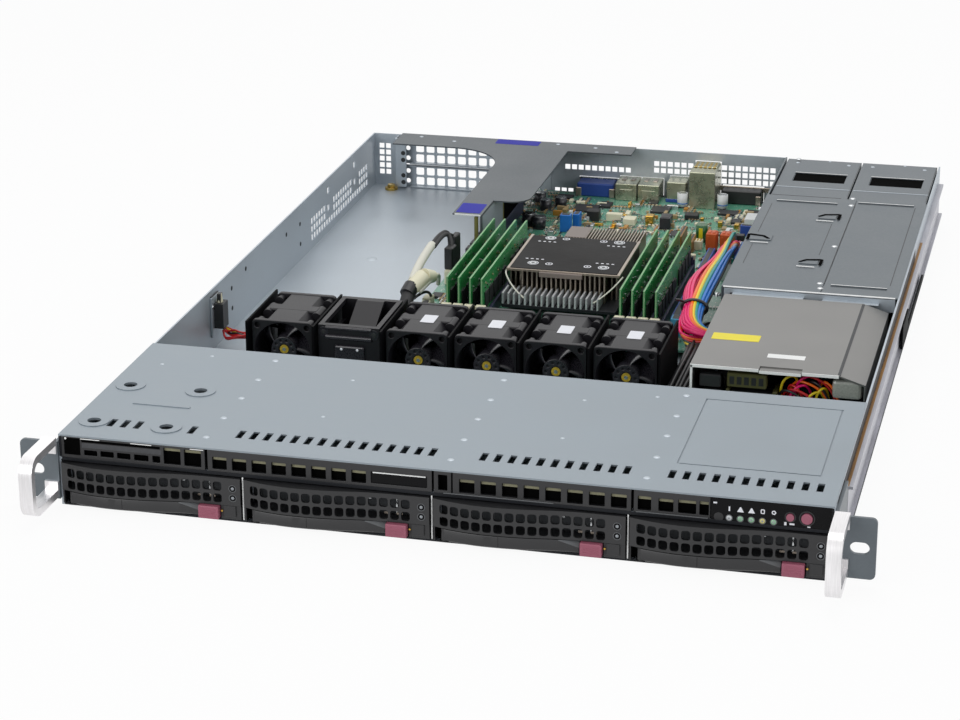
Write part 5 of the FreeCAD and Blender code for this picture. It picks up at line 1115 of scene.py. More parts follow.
    def small_parts(self, board, top, low, high):
        """Chip resistors and capacitors, strewn in rows as a placing machine sets them."""
        pick = random.Random(11)
        taken = [(-45, 350, 33, 470), (-81, 324, -49, 470), (36, 324, 68, 470), (-55, 618, 90, 650), (86, 455, 98, 512)]
        for index in range(1150):
            start = low.y + 3 if index < 650 else 515
            x, y = pick.uniform(low.x + 3, high.x - 4), pick.uniform(start, high.y - 4)
            if any(a - 1 < x < c + 1 and b - 1 < y < d + 1 for a, b, c, d in taken):
                continue
            count, upright = pick.choice((1, 2, 3, 5)), pick.random() < 0.5
            body = pick.choice(("ceramic_cap", "cream_nylon", "epoxy_chip", "tantalum_cap", "ceramic_cap"))
            long = pick.choice((1.8, 1.8, 2.6, 3.6))
            for i in range(count):
                a, b = (x + i * (long * 0.5 + 0.9), y) if upright else (x, y + i * (long * 0.5 + 0.9))
                if a > high.x - 3 or b > high.y - 4:
                    break
                w, d = (long * 0.5, long) if upright else (long, long * 0.5)
                tall = top + long * 0.45
                board.block((a, a + w), (b, b + d), (top, tall), "tinned_metal")
                if upright:
                    board.block((a - 0.02, a + w + 0.02), (b + d * 0.25, b + d * 0.75), (top, tall + 0.05), body)
                else:
                    board.block((a + w * 0.25, a + w * 0.75), (b - 0.02, b + d + 0.02), (top, tall + 0.05), body)


class SERVER_OT_heatsink(bpy.types.Operator):
    """Processor cooler: stepped fins, dark top plate, corner screws and wire clips"""
    bl_idname = "server.heatsink"
    bl_label = "Processor heatsink"

    def execute(self, context):
        low, high = extent("heatsink")
        sink = Piece("cooler")
        # base under the fins, painted dark as shade
        sink.block((low.x, high.x), (low.y, high.y), (low.z, low.z + 2.6), "blackened_steel", 0.4)
        for i in range(18):
            x = low.x + 0.3 + 3.8 * i
            sink.block((x, x + 1.2), (low.y, low.y + 17), (low.z + 2.6, low.z + 10.2), "pale_fin")
        for i in range(23):
            x = low.x + 0.6 + 3.3 * i
            near = low.y + 15
            if 24 < x or x < low.x + 10:
                near += 9
            sink.block((x, x + 1), (near, low.y + 92), (low.z + 2.6, high.z - 1.4), "pale_bronze")
        # comb of bare fins behind the plate, closed over at its left end
        for i in range(26):
            x = low.x + 23 + 2.1 * i
            sink.block((x, x + 0.7), (low.y + 92, high.y), (low.z + 2.6, high.z - 1.2), "pale_bronze")
        sink.block((low.x + 23, low.x + 38), (low.y + 93, high.y - 1), (high.z - 1.6, high.z - 0.9), "brown_plating", 0.2)
        plate_front, plate_end = low.y + 15.8, low.y + 88.5
        sink.plate("XY", high.z - 1.5, 1.5, rounded(low.x + 2.2, high.x - 2.8, plate_front, plate_end, 1.2), "black_nickel_plate", rim=0.3)
        # folded rim round the plate, and the lip under its middle
        for a, b in ((low.x, low.x + 2.2), (high.x - 2.8, high.x - 0.6)):
            sink.block((a, b), (plate_front - 0.5, plate_end + 3), (high.z - 2.4, high.z - 0.3), "pale_bronze", 0.3)
        for y in (plate_front - 0.6, plate_end):
            sink.block((low.x, high.x - 0.6), (y, y + 0.9), (high.z - 2.4, high.z - 0.4), "pale_bronze", 0.3)
        sink.block((-22.5, 7), (plate_front - 2, plate_front + 2), (high.z - 5.2, high.z - 1.4), "brown_plating", 0.5)
        # screws in the corners, each in a pale ring, with plain pads beside them
        for x in (low.x + 15.4, high.x - 14.2):
            for y in (plate_front + 12.4, plate_end - 4.4):
                sink.plate("XY", high.z - 0.02, 0.06, circle(x, y, 3.8, 24), "label_paper", [circle(x, y, 3.2, 24)])
                sink.bar((x, y, high.z - 1), (x, y, high.z + 0.15), 2.6, "steel_screw", 20)
                sink.bar((x, y, high.z), (x, y, high.z + 0.2), 1.2, "black_abs", 6)
                for i in range(4):
                    side = -1 if y < 400 else 1
                    sink.block((x - 7 + 3.6 * i, x - 5.2 + 3.6 * i), (y - side * 9.2, y - side * 7.8), (high.z - 0.02, high.z + 0.04), "label_paper")
                ring = x + (11 if x < 0 else -11)
                sink.plate("XY", high.z - 0.02, 0.06, circle(ring, y, 2.6, 20), "label_paper", [circle(ring, y, 1.9, 20)])
                sink.bar((ring, y, high.z - 0.02), (ring, y, high.z + 0.04), 0.8, "label_paper", 10)
        sink.build("chassis", "fin_metal", ["heatsink"])
        runs = []
        for side, x in ((-1, low.x - 0.6), (1, high.x + 0.6)):
            inward = -side
            runs.append(("silicone_sleeve", 0.55, [
                (x, plate_front + 4, 33), (x, plate_front - 2, 33.5), (x + inward * 2, plate_front - 7, 31),
                (x + inward * 10, plate_front - 14, 24), (x + inward * 16, plate_front - 15, 20)]))
        wires("cooler_clips", runs, "chassis")
        return {"FINISHED"}


class SERVER_OT_memory(bpy.types.Operator):
    """Memory modules with their chips, in latched sockets"""
    bl_idname = "server.memory"
    bl_label = "Memory"

    def execute(self, context):
        low, high = extent("memory_modules")
        base, _ = extent("memory_sockets")
        places = [low.x + 0.65 + 7.85 * i for i in range(4)] + [high.x - 0.65 - 7.85 * i for i in range(4)]
        modules, sockets = Piece("memory_boards"), Piece("memory_slots")
        pick = random.Random(5)
        for x in places:
            self.module(modules, x, low, high, pick)
            self.socket(sockets, x, base, low, high)
        modules.build("chassis", "memory_green", ["memory_modules"])
        sockets.build("chassis", "socket_plastic", ["memory_sockets"], 0.15)
        return {"FINISHED"}

    def module(self, piece, x, low, high, pick):
        """One board, its pale cut edge, ten chips a side and a row of small parts."""
        outline = [(low.y, low.z + 3), (low.y + 1, low.z), (high.y - 1, low.z), (high.y, low.z + 3),
                   (high.y, high.z - 0.3), (high.y - 0.3, high.z), (low.y + 0.3, high.z), (low.y, high.z - 0.3)]
        piece.plate("YZ", x - 0.65, 1.3, outline, "memory_board")
        piece.block((x - 0.45, x + 0.45), (low.y - 0.05, high.y + 0.05), (high.z - 0.3, high.z + 0.04), "cut_board_edge")
        piece.block((x - 0.45, x + 0.45), (low.y - 0.06, low.y + 0.3), (low.z + 3, high.z), "cut_board_edge")
        for side in (-1, 1):
            a, b = sorted((x + side * 0.65, x + side * 1.6))
            for i in range(10):
                y = low.y + 5 + 12.6 * i
                if 60 < y - low.y < 74:
                    continue
                piece.block((a, b), (y, y + 9), (low.z + 9, low.z + 20.5), "epoxy_chip", 0.15)
            c, d = sorted((x + side * 0.65, x + side * 1.2))
            for _ in range(26):
                y, z = pick.uniform(low.y + 4, high.y - 6), pick.choice((low.z + 6, low.z + 23, low.z + 25.5))
                piece.block((c, d), (y, y + 1.4), (z, z + 0.8), pick.choice(("ceramic_cap", "epoxy_chip", "tinned_metal")))
            middle = (low.y + high.y) / 2
            piece.block((a, b), (middle - 4, middle + 4), (low.z + 12, low.z + 18), "epoxy_chip", 0.15)
            piece.block((x - 0.7, x + 0.7), (low.y + 3, high.y - 3), (low.z + 0.3, low.z + 3), "gold_plate")

    def socket(self, piece, x, base, low, high):
        """Dark slotted bar with a cream latch folded up at each end."""
        for a, b in ((x - 3, x - 0.8), (x + 0.8, x + 3)):
            piece.block((a, b), (base.y + 4, high.y + 1), (base.z, base.z + 8.2), "slate_nylon", 0.3)
        piece.block((x - 3, x + 3), (base.y + 2, high.y + 3), (base.z, base.z + 1), "slate_nylon")
        for start, sign in ((base.y, 1), (high.y + 5, -1)):
            y = sorted((start, start + sign * 4.4))
            piece.block((x - 3, x + 3), y, (base.z, base.z + 11.5), "slate_nylon", 0.4)
            y = sorted((start + sign * 0.4, start + sign * 4))
            piece.block((x - 3.5, x + 3.5), y, (base.z + 11, base.z + 15), "cream_nylon", 0.6)
            y = sorted((start + sign * 3.2, start + sign * 6.4))
            for a, b in ((x - 2.2, x - 0.9), (x + 0.9, x + 2.2)):
                piece.block((a, b), y, (base.z + 8, base.z + 14), "violet_nylon", 0.3)


# ------------------------------------------------------------------ rear

class SERVER_OT_ports(bpy.types.Operator):
    """Connectors along the rear edge of the board"""
    bl_idname = "server.ports"
    bl_label = "Rear ports"

    def execute(self, context):
        low, high = extent("rear_ports")
        z, end = low.z, high.y
        ports = Piece("rear_connectors")
        # display port: blue shell in a tinned shroud, with its two hex posts
        ports.block((-52.5, -24), (end - 17, end - 3), (z, z + 10.4), "blue_nylon", 0.8)
        ports.block((-53.5, -23), (end - 3, end - 0.4), (z, z + 11), "tinned_metal", 0.4)
        ports.block((-47, -29.5), (end - 0.6, end), (z + 2, z + 9.4), "tinned_metal", 0.3)
        for x in (-51.2, -25.3):
            ports.bar((x, end - 1, z + 5.5), (x, end, z + 5.5), 2.4, "brass_plate", 6)
            ports.block((x - 2.2, x + 2.2), (end - 18, end - 12), (z, z + 7), "pale_bronze", 0.4)
            ports.dome((x, end - 15, z + 7), 1.6, 1, "tinned_metal")
        # two network jacks in creased cans
        for x in (-21.8, -4.6):
            ports.block((x, x + 16.4), (end - 22, end - 0.2), (z, z + 13.2), "warm_tin", 0.5, 2)
            ports.block((x + 2.2, x + 14.2), (end - 0.5, end), (z + 2.5, z + 11), "black_abs", 0.2)
            ports.block((x + 3, x + 13.4), (end - 22.3, end - 21.8), (z + 2, z + 9), "warm_tin", 0.3)
            for i in (0, 1):
                ports.block((x + 3 + 7 * i, x + 6.4 + 7 * i), (end - 12, end - 5), (z + 13, z + 13.7), "pale_bronze", 0.3)
        # paired serial bus sockets
        ports.block((17, 31.6), (end - 18, end - 0.2), (z, z + 15.6), "warm_tin", 0.5, 2)
        for level in (2.4, 9.2):
            ports.block((18.4, 30.2), (end - 0.5, end), (z + level, z + level + 4.4), "black_abs", 0.2)
            ports.block((19.4, 29.2), (end - 2, end - 0.1), (z + level + 1.8, z + level + 3.4), "blue_nylon", 0.1)
        ports.block((16.4, 32.2), (end - 18.6, end - 17.4), (z, z + 2.6), "blue_nylon", 0.3)
        # tall stack with a folded top and its spring fingers
        ports.block((36, 55.6), (end - 30, end - 0.2), (z, z + 28.2), "warm_tin", 0.5, 2)
        ports.block((36.6, 55), (end - 16, end - 1), (z + 28, z + 28.9), "warm_tin", 0.4)
        for i in range(5):
            ports.block((37.6 + 3.5 * i, 39.8 + 3.5 * i), (end - 17, end - 3), (z + 28.5, z + 29), "brass_plate", 0.2)
        for level in (3, 16):
            ports.block((38, 53.6), (end - 0.5, end), (z + level, z + level + 9.4), "black_abs", 0.2)
        # serial port in black, with posts
        ports.block((58, 87.8), (end - 13, end - 3), (z, z + 10.6), "black_abs", 0.7)
        ports.block((57.4, 88.4), (end - 2, end - 0.3), (z, z + 10.8), "warm_tin", 0.4)
        for x in (60, 86):
            ports.block((x - 2, x + 2), (end - 14, end - 9), (z, z + 7.4), "pale_bronze", 0.4)
            ports.bar((x, end - 1, z + 5.7), (x, end, z + 5.7), 2.4, "brass_plate", 6)
        ports.build("chassis", "port_metal", ["rear_ports"], 0.12)
        return {"FINISHED"}


class SERVER_OT_slots(bpy.types.Operator):
    """Riser cover with its card and bare labels, and the perforated slot covers"""
    bl_idname = "server.slots"
    bl_label = "Riser and slot covers"

    def execute(self, context):
        dress("riser_bracket", "satin_riser_steel", 0.3)
        low, high = extent("slot_covers")
        covers = Piece("slot_cover_plates")
        for step in (0, 18.4):
            z = low.z + step
            holes = [rounded(x, x + 6.4, z + 1.5 + row, z + 7.7 + row, 1.1) for row in (0, 8.0)
                     for x in [low.x + 13 + 8.4 * i for i in range(12)]]
            holes += [circle(low.x + 6.6, z + 4.4 + row, 1.9, 12) for row in (0, 8.0)]
            covers.plate("XZ", low.y, 1, rounded(low.x, high.x, z, z + 17.4, 0.6), "galvanised_steel", holes, rim=0.15)
        # folded flanges between the covers, the end post and its brass foot
        for z in (low.z + 16.9, low.z + 19.3, low.z + 0.1):
            covers.block((low.x + 9, high.x), (low.y - 5, low.y), (z, z + 0.9), "galvanised_steel", 0.25)
        covers.block((low.x - 1.5, low.x + 7.5), (low.y - 9, low.y - 8), (low.z + 1.5, 41.6), "galvanised_steel", 0.3)
        covers.block((low.x - 1.5, low.x - 0.5), (low.y - 8, low.y), (low.z + 1.5, 41.6), "galvanised_steel", 0.3)
        for z in (6.5, 12, 24.5, 30):
            covers.bar((low.x + 5, low.y - 9.1, z), (low.x + 5, low.y - 8.9, z), 1.8, "black_abs", 16)
        covers.build("chassis", "zinc_steel", ["slot_covers"])
        marks = Piece("riser_labels")
        _, top = extent("riser_bracket")
        marks.plate("XY", top.z - 0.02, 0.12, rounded(-103.6, -86, 458.5, 481, 1), "blue_label")
        marks.plate("XY", top.z - 0.02, 0.12, rounded(-118, -84, 637, 649, 1), "blue_label")
        for x, y in ((-150, 636), (-178, 643), (-40, 641), (-22, 633), (-70, 645)):
            marks.dome((x, y, top.z - 0.02), 1.6, 0.4, "galvanised_steel", sides=12)
        marks.build("chassis", "painted_cover")
        card = Piece("riser_card")
        # the card's gold contacts and cut edge under the arm's tip, painted shade beyond the edge, and a painted
        # highlight along the arm's front edge
        card.block((-84.1, -83.9), (458.5, 520), (17, 41.2), "galvanised_steel")
        card.block((-84.3, -83.7), (520, 522.5), (17, 41), "card_edge")
        card.block((-84.1, -83.9), (522.5, 626), (17, 41.2), "unlit_duct")
        card.block((-103.5, -84.5), (454.95, 455.5), (42, 43.02), "cut_steel_edge", 0.1)
        card.block((-89.6, -86.9), (456.5, 458), (7, 41), "card_edge", 0.2)
        card.block((-91, -84.5), (490, 580), (6.7, 9), "shaded_nylon", 0.4)
        card.build("chassis", "board_green")
        return {"FINISHED"}


class SERVER_OT_power(bpy.types.Operator):
    """Supply cage, plug-in supplies, distribution board and its hood"""
    bl_idname = "server.power"
    bl_label = "Power supplies"

    def execute(self, context):
        for node in ("supply_cage", "power_supply_1", "power_supply_2"):
            dress(node, "chromated_steel", 0.25)
        for number in (1, 2):
            dress(f"supply_latch_{number}", "maroon_abs", 0.3)
        dress("power_cover", "brushed_hood_steel", 0.35)
        dress("power_distributor", "shaded_board", 0.2)
        self.cage()
        self.supplies()
        self.hood()
        return {"FINISHED"}

    def cage(self):
        """Beads, louvres and rivets of the cover over the supplies."""
        _, high = extent("supply_cage")
        top, sheet = high.z, high.z - 0.6
        cover = Piece("cage_beads")
        # painted highlights on the crests of the pressed beads, and painted shade on the shallow steps beside them
        for across, along in (((113, 156), (537.2, 538)), ((170, 209), (543.2, 544)), ((173, 209), (358.2, 359))):
            cover.block(across, along, (top - 0.05, top + 0.08), "cut_steel_edge")
            cover.block(across, (along[0] - 2, along[0] - 1.4), (sheet - 0.05, sheet + 0.08), "worn_dark_steel")
        # thin dark lines of painted shade by the beads
        for across, along in (((168, 168.5), (362, 540)), ((210, 210.5), (366, 540)), ((110.6, 111), (392, 434)),
                              ((110.4, 110.8), (462, 530)), ((157.5, 157.9), (420, 490)), ((107.5, 157), (551.6, 552.1))):
            cover.block(across, along, (sheet - 0.05, sheet + 0.1), "worn_dark_steel")
        # painted highlight along the cover's front edge
        cover.block((105.5, 216), (341, 342.4), (sheet - 0.4, sheet + 0.2), "cut_steel_edge", 0.1)
        # louvres: painted shade for the mouth at one side of a raised half-round lip, and a painted highlight on the
        # lip
        for x, y, side in ((153.5, 504, 1), (153.5, 401, 1), (113.5, 446.5, -1)):
            hook = [(-7.5, 0), (-3, 6), (6.5, 8.2), (8.8, 7), (8.4, -4.5), (6.3, -4.5), (6.6, 5), (-2, 3.4), (-5.8, -1)]
            cover.plate("XY", top + 0.1, 0.06, [(x + side * u, y + v) for u, v in hook], "unlit_duct")
            lip = [(-7.4, -9.8), (4.6, -10), (4.6, -8.7), (-7.4, -8.5)]
            cover.plate("XY", top, 0.08, [(x + side * u, y + v) for u, v in lip], "cut_steel_edge")
        for x, y in ((165, 553.2), (165.8, 536.3), (165.5, 440.3), (165.6, 360.9), (167, 351.1), (114.3, 646)):
            cover.dome((x, y, sheet - 0.02), 1.9, 0.7, "tinned_metal", sides=14)
        # slotted lip hanging under the cover's front edge
        holes = [rounded(a, a + 5.6, 34.5, 38.6, 0.6) for a in (110, 117.5, 125, 171, 178.5, 186)]
        cover.plate("XZ", 341.2, 0.8, [(106, 33), (216, 33), (216, 41.5), (106, 41.5)], "galvanised_steel", holes, rim=0.1)
        cover.block((112, 158), (336.5, 341.4), (38.6, 39.4), "galvanised_steel", 0.2)
        cover.block((170, 206), (336.5, 341.4), (38.2, 39), "galvanised_steel", 0.2)
        cover.build("chassis", "painted_cover", edge=0.05)

    def supplies(self):
        """Recess, seams, inlet and fan grille of each supply."""
        low, high = extent("power_supply_1")
        step = extent("power_supply_2")[0].x - low.x
        trim = Piece("supply_trim_1")
        left, z, end = low.x, low.z, 650
        # dark recess in painted shade, with a painted highlight on its front lip
        trim.block((left + 10.2, left + 47.5), (593.5, 615.5), (z + 39.1, z + 39.25), "unlit_duct")
        trim.block((left + 9.6, left + 48.1), (615.4, 616.2), (z + 39.9, z + 40.1), "cut_steel_edge")
        trim.block((left + 0.4, left + 54), (577.2, 577.9), (z + 39.9, z + 40.25), "galvanised_steel", 0.1)
        trim.block((left + 53.7, left + 54.3), (560, 649), (z + 38.5, z + 40.1), "black_abs", 0.1)
        for x in (left + 8, left + 46):
            trim.dome((x, 641, z + 39.98), 1.5, 0.4, "galvanised_steel", sides=12)
        trim.bar((left + 31, 647, z + 38), (left + 31, 650, z + 38), 2.2, "galvanised_steel", 16)
        # inlet well and fan guard on the rear face
        trim.block((left + 5, left + 29), (639, 641), (z + 4, z + 19), "black_abs", 0.6)
        for x, y in ((left + 12, z + 9), (left + 17, z + 13), (left + 22, z + 9)):
            trim.bar((x, 640, y), (x, 647, y), 1.2, "tinned_metal", 10)
        for ring in (5, 9, 13):
            outer, inner = circle(left + 33, z + 25, ring + 0.5, 28), circle(left + 33, z + 25, ring - 0.3, 28)
            trim.plate("XZ", end, 0.7, [(x, min(y, z + 39)) for x, y in outer], "tinned_metal", [[(x, min(y, z + 38.4)) for x, y in inner]])
        trim = trim.build("supply_1", "painted_cover", edge=0.08)
        shifted(trim, "supply_trim_2", "supply_2", (step, 0, 0))

    def hood(self):
        """Bare yellow label, painted highlights on the cut edges, and the wires and connectors inside the hood."""
        low, high = extent("power_cover")
        hood = Piece("hood_trim")
        hood.plate("XY", high.z - 0.02, 0.14, rounded(113, 142.5, 247, 258.5, 0.6), "yellow_label")
        # painted highlight along the front cut edge of the fold, round its notch
        for a, b in ((low.x, 149.3), (175, 197)):
            hood.block((a, b), (low.y - 0.15, low.y + 0.4), (high.z - 1.9, high.z + 0.02), "cut_steel_edge", 0.1)
        # lowered tab in the notch, and the lip that closes the slot, pale as a painted highlight
        hood.block((149.6, 174.6), (low.y - 0.1, low.y + 6), (high.z - 1.6, high.z - 0.7), "brushed_hood_steel", 0.1)
        hood.block((149.6, 174.6), (low.y - 0.3, low.y + 0.1), (high.z - 2.6, high.z - 0.8), "cut_steel_edge", 0.1)
        # painted highlights on the hood's left front edge and on the tab's top
        hood.block((low.x - 0.02, low.x + 1.4), (low.y - 0.15, low.y + 0.4), (low.z, high.z - 0.5), "cut_steel_edge", 0.1)
        hood.block((151.1, 173.9), (221.6, 228.2), (high.z - 0.6, high.z + 0.14), "cut_steel_edge", 0.1)
        # dark line of painted shade along the fold
        hood.block((196.2, 198), (low.y + 1, high.y - 1), (high.z - 0.6, high.z + 0.04), "worn_dark_steel")
        hood.build("chassis", "painted_cover")
        inside = Piece("hood_connectors")
        for x, w in ((115, 12), (131, 26)):
            inside.block((x, x + w), (209, 219), (6, 22), "black_abs", 0.5)
            # pin rows in the connectors' faces, in painted olive light
            for i in range(int(w / 4.4)):
                for z in (9, 16):
                    inside.block((x + 1.6 + 4.4 * i, x + 4.2 + 4.4 * i), (208.7, 209.2), (z, z + 3), "smoked_duct", 0.2)
        inside.block((129, 131), (207, 222), (5.6, 24), "olive_nylon", 0.4)
        inside.block((157, 160), (207, 222), (5.6, 24), "olive_nylon", 0.4)
        inside.bar((120, 226, 6), (120, 226, 24), 5, "electrolytic_sleeve", 20)
        inside.block((192.8, 210.4), (204.4, 212), (24, 35.6), "smoky_film", 2, 2)
        inside.block((129.8, 153.6), (204.6, 212), (26, 35), "olive_nylon", 0.6)
        for i in range(5):
            inside.block((131.4 + 4.4 * i, 134.2 + 4.4 * i), (204.3, 204.7), (28, 33), "black_abs", 0.1)
        inside.block((113, 126), (204.6, 212), (25, 33), "black_abs", 0.6)
        inside.build("chassis", "board_green", edge=0.1)
        runs = []
        for i, (finish, start, end) in enumerate((("red", 162, 185), ("red", 165, 176), ("orange", 166, 190), ("magenta", 186, 168),
                                                  ("yellow", 188, 176), ("yellow", 190, 182), ("orange", 184, 196), ("red", 170, 194),
                                                  ("black", 160, 178), ("magenta", 180, 166), ("black", 176, 190), ("yellow", 172, 160))):
            y, rise = 204 + 1.7 * (i % 4), 26 + 2.6 * (i % 4)
            runs.append((f"{finish}_insulation", 0.8, [
                (start, y + 14, 12), (start, y + 6, rise), ((start + end) / 2, y - 1, rise + 4 - i % 3),
                (end, y + 1, rise - 6), (end + 2, y + 8, 10)]))
        wires("hood_wires", runs, "chassis")


# ------------------------------------------------------------------ wiring

class SERVER_OT_wiring(bpy.types.Operator):
    """Power loom of coloured wires with its tie, and the sleeved lead beside the board"""
    bl_idname = "server.wiring"
    bl_label = "Wiring"

    def execute(self, context):
        size = sizes().wire / MM
        runs = []
        # (finish, place across the tie, height in the tie, reach of the lower loop)
        bundle = (("magenta", -7.6, 30.5, 10), ("magenta", -6.6, 33.0, 8), ("magenta", -5.2, 35.0, 6), ("magenta", -4.6, 31.5, 7),
                  ("magenta", -3.2, 36.2, 4), ("magenta", -2.6, 33.4, 5), ("orange", -1.4, 37.0, 3), ("orange", -1.0, 34.6, 3),
                  ("yellow", 0.4, 37.2, 0), ("yellow", 0.9, 34.8, 1), ("grey", -0.2, 32.4, 2), ("teal", 2.2, 36.8, -2),
                  ("teal", 2.7, 34.4, -2), ("blue", 4.2, 36.2, -3), ("blue", 4.6, 33.8, -3), ("blue", 5.8, 34.6, -4),
                  ("black", 6.2, 31.8, -4), ("grey", 1.4, 30.6, 0), ("orange", -3.6, 29.4, 8), ("magenta", -6.0, 28.6, 11))
        for index, (finish, across, level, loop) in enumerate(bundle):
            pin = 459.5 + 4.2 * (index % 12)
            x = 88.9 if index < 12 else 94.3
            spread = 1.12 * across - (2.6 if finish == "magenta" else 0)
            thick = 1.5 if finish == "orange" else 1.3
            runs.append((f"{finish}_insulation", thick * size, [
                (x, pin, 18), (x, pin - 2, 26), (x + 0.3 * across, pin - 14, 30 + 0.1 * level),
                (91 + 0.5 * spread, 430 - 1.2 * loop, level - 2.5), (89 + 1.1 * spread, 390 - loop, level + 0.8),
                (89.5 + spread, 352, level + 1.2), (90 + across, 332, level + 0.4), (90.2 + across * 0.95, 322, level - 0.4),
                (91 + across * 0.8, 308 - 0.6 * loop, level - 4), (95 + across * 0.35, 298 - 0.6 * loop, 24.5 + 0.15 * level - 0.1 * loop),
                (104, 298 - 0.4 * loop, 23 + 0.25 * (level - 28)), (113, 301, 23 + 0.25 * (level - 28)), (124, 300 + 0.3 * across, 22)]))
        # strands that hang lower before they turn under the hood
        for i, finish in enumerate(("magenta", "orange", "red", "black", "yellow", "black", "orange", "magenta")):
            runs.append((f"{finish}_insulation", 1.1 * size, [
                (83.5 + i, 345, 30), (83 + 0.8 * i, 322, 30), (82.5 + 0.9 * i, 306, 27 - 0.6 * i), (85.5 + i, 294 - 1.6 * i, 24 - i),
                (97, 293 - 1.8 * i, 23 - i), (110, 297 - 1.6 * i, 23 - i), (122, 299, 22)]))
        wires("power_loom", runs, "chassis", ["wiring"])
        tie = [("black_insulation", 1.05, [(90.2 + 8.6 * math.cos(a), 323 - 0.4 * math.cos(a), 33 + 5.4 * math.sin(a))
                                          for a in [2 * math.pi * i / 15 for i in range(17)]]),
               ("black_insulation", 0.9, [(83, 323, 36.5), (80.5, 321, 38.5), (78.5, 318, 39)])]
        wires("loom_tie", tie, "chassis")
        self.left_lead()
        self.stray_wires()
        return {"FINISHED"}

    def left_lead(self):
        """Braided lead that turns into white sleeve, loops over and plugs in beside the memory."""
        lead = [("polyester_braid", 4.6, [(-103, 312, 7), (-104, 318, 14), (-104.5, 328, 22), (-103.5, 338, 27)]),
                ("silicone_sleeve", 3.0, [(-104, 343, 30), (-105, 356, 33), (-105.5, 375, 35.5), (-105, 398, 37.5)]),
                ("polyester_braid", 1.6, [(-105, 394, 37), (-104.6, 406, 39.2), (-103, 421, 40.4), (-99.5, 424, 39), (-97, 418, 34), (-96.4, 414, 28)]),
                ("polyester_braid", 1.6, [(-103, 396, 37), (-102.4, 410, 39), (-101, 419, 39.6), (-98, 421, 38), (-95.2, 415, 33), (-94.4, 412, 28)]),
                ("black_insulation", 1.4, [(-104, 395, 36), (-103.6, 408, 38), (-102, 418, 39), (-99, 426, 37.5), (-97.6, 431, 33)]),
                ("silicone_sleeve", 1.5, [(-98, 338, 24), (-92, 346, 30), (-90, 356, 32), (-91, 364, 28), (-93, 368, 20)]),
                ("black_insulation", 1.0, [(-101, 335, 20), (-96, 342, 24), (-94, 350, 22), (-94.5, 356, 14)])]
        wires("left_lead", lead, "chassis")
        ends = Piece("lead_ends")
        ends.bar((-103.5, 336, 26.5), (-97, 347, 32), 5.2, "cream_nylon", 18, 5.6)
        ends.bar((-97, 347, 32), (-92.5, 354, 30), 5.6, "cream_nylon", 18, 4.2)
        ends.bar((-104.6, 331, 24), (-103, 338, 28), 5.3, "black_insulation", 14)
        ends.block((-98.6, -92.4), (407, 417), (17, 33), "black_abs", 0.7, turn=-4)
        ends.block((-99.4, -94.8), (426, 437), (13.6, 35.5), "black_abs", 0.7, turn=-4)
        ends.block((-100.4, -95.4), (424, 438), (6.7, 13.8), "cream_nylon", 0.5)
        ends.block((-98.4, -92.0), (405, 419), (6.7, 17.2), "cream_nylon", 0.5)
        ends.block((-99.5, -93), (350, 359), (6.7, 15.6), "cream_nylon", 0.5)
        ends.block((-97.8, -94.8), (349.6, 350.4), (10, 14.4), "black_abs", 0.2)
        ends.build("chassis", "wire_plastic", edge=0.15)

    def stray_wires(self):
        """Red fan leads beside the first fan, thin wires behind the others, and the loom's small strands."""
        pick = random.Random(3)
        runs = []
        for i in range(7):
            finish = ("red", "red", "red", "black", "red", "yellow", "red")[i]
            a, b = pick.uniform(-212, -206), pick.uniform(-184, -179)
            runs.append((f"{finish}_insulation", 0.75, [
                (-211, 262 + i, 14), (a + 2, 258 + i, 8 + i), (a + 8, 252 + 2 * i, pick.uniform(10, 19)),
                (b - 12, 256 + pick.uniform(-4, 6), pick.uniform(6, 15)), (b - 4, 268 + i, pick.uniform(8, 16)), (b, 290, 5 + i)]))
        for i in range(4):
            finish = ("red", "black", "yellow", "black")[i]
            runs.append((f"{finish}_insulation", 0.7, [
                (-92 + i, 288, 12), (-91 + 1.2 * i, 296, 24 + i), (-86 + 2 * i, 305, 26), (-82 + 2 * i, 313, 18), (-80 + 2 * i, 318, 13)]))
        for i, finish in enumerate(("magenta", "white", "blue", "red")):
            runs.append((f"{finish}_insulation", 0.6, [
                (93 + 1.3 * i, 455, 24), (94 + 1.2 * i, 470, 27 - i), (93.5 + 1.2 * i, 490, 25 - i), (92 + i, 510, 20), (90 + i, 522, 10)]))
        for i in range(18):
            across = 2.6 * (i % 6) + pick.uniform(-0.4, 0.4)
            rise = 3 + 6 * (i // 6) + pick.uniform(0, 3)
            runs.append(("black_insulation" if i != 8 else "red_insulation", 1.3, [
                (91 + across, 212, rise), (92 + across, 240, rise + pick.uniform(0, 4)), (93 + across, 272, rise + pick.uniform(0, 5)),
                (93 + across, 300, rise + 4), (94 + 0.9 * across, 322, rise + 6), (97 + 0.8 * across, 336, rise)]))
        wires("stray_leads", runs, "chassis")


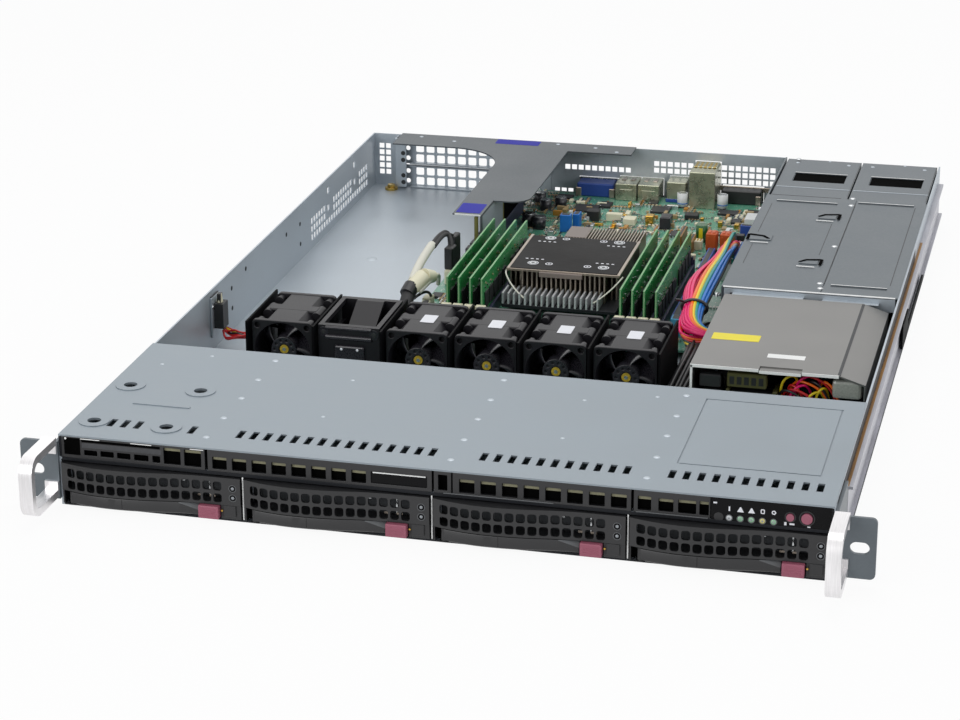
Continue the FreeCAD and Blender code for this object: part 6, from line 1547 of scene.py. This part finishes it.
class SERVER_OT_switch(bpy.types.Operator):
    """Lid switch on the left wall with its spring plunger"""
    bl_idname = "server.switch"
    bl_label = "Lid switch"

    def execute(self, context):
        dress("intrusion_switch", "black_abs", 0.4)
        low, high = extent("intrusion_switch")
        trim = Piece("switch_trim")
        x = low.x
        trim.block((x + 0.1, x + 1.5), (low.y - 1, high.y + 1), (low.z, high.z - 1.4), "galvanised_steel", 0.3)
        trim.bar((x + 4.2, 264, 33), (x + 4.2, 264, 38.9), 2.2, "cream_nylon", 16, 1.6)
        trim.block((x + 1.2, x + 3), (268.4, 274), (20, 22), "cream_nylon", 0.3)
        trim.dome((x + 1.4, 273, 15), 1.6, 0.9, "steel_screw", (1, 0, 0), 12)
        trim.dome((x + 1.4, 257.8, 31), 1.6, 0.9, "steel_screw", (1, 0, 0), 12)
        # pressed dimples in the wall, painted dark as shade
        for y, z in ((300, 16), (300, 30), (330, 34), (452, 28), (452, 13), (420, 30)):
            trim.dome((x + 0.02, y, z), 1.7, 0.4, "worn_dark_steel", (1, 0, 0), 12)
        trim.build("chassis", "black_plastic", edge=0.1)
        return {"FINISHED"}


# ------------------------------------------------------------------ panel and run

STEPS = (SERVER_OT_stage, SERVER_OT_chassis, SERVER_OT_ears, SERVER_OT_carriers, SERVER_OT_bezel, SERVER_OT_panel,
         SERVER_OT_fans, SERVER_OT_board, SERVER_OT_heatsink, SERVER_OT_memory, SERVER_OT_ports, SERVER_OT_slots,
         SERVER_OT_power, SERVER_OT_wiring, SERVER_OT_switch)


class SERVER_PT_looks(bpy.types.Panel):
    """Sizes, colours and the steps that dress the server"""
    bl_idname = "SERVER_PT_looks"
    bl_label = "Rack server"
    bl_space_type = "VIEW_3D"
    bl_region_type = "UI"
    bl_category = "Rack server"

    def draw(self, context):
        layout = self.layout
        for settings in (context.scene.server_sizes, context.scene.server_colours):
            box = layout.box()
            for key in settings.__annotations__:
                box.prop(settings, key)
        for step in STEPS:
            layout.operator(step.bl_idname)


CLASSES = (ServerSizes, ServerColours, *STEPS, SERVER_PT_looks)


def register():
    for kind in CLASSES:
        bpy.utils.register_class(kind)
    bpy.types.Scene.server_sizes = bpy.props.PointerProperty(type=ServerSizes)
    bpy.types.Scene.server_colours = bpy.props.PointerProperty(type=ServerColours)


def unregister():
    del bpy.types.Scene.server_colours
    del bpy.types.Scene.server_sizes
    for kind in reversed(CLASSES):
        bpy.utils.unregister_class(kind)


def main():
    register()
    make_materials()
    for step in STEPS:
        group, name = step.bl_idname.split(".")
        getattr(getattr(bpy.ops, group), name)()
    bpy.context.view_layer.update()


if __name__ == "__main__":
    main()
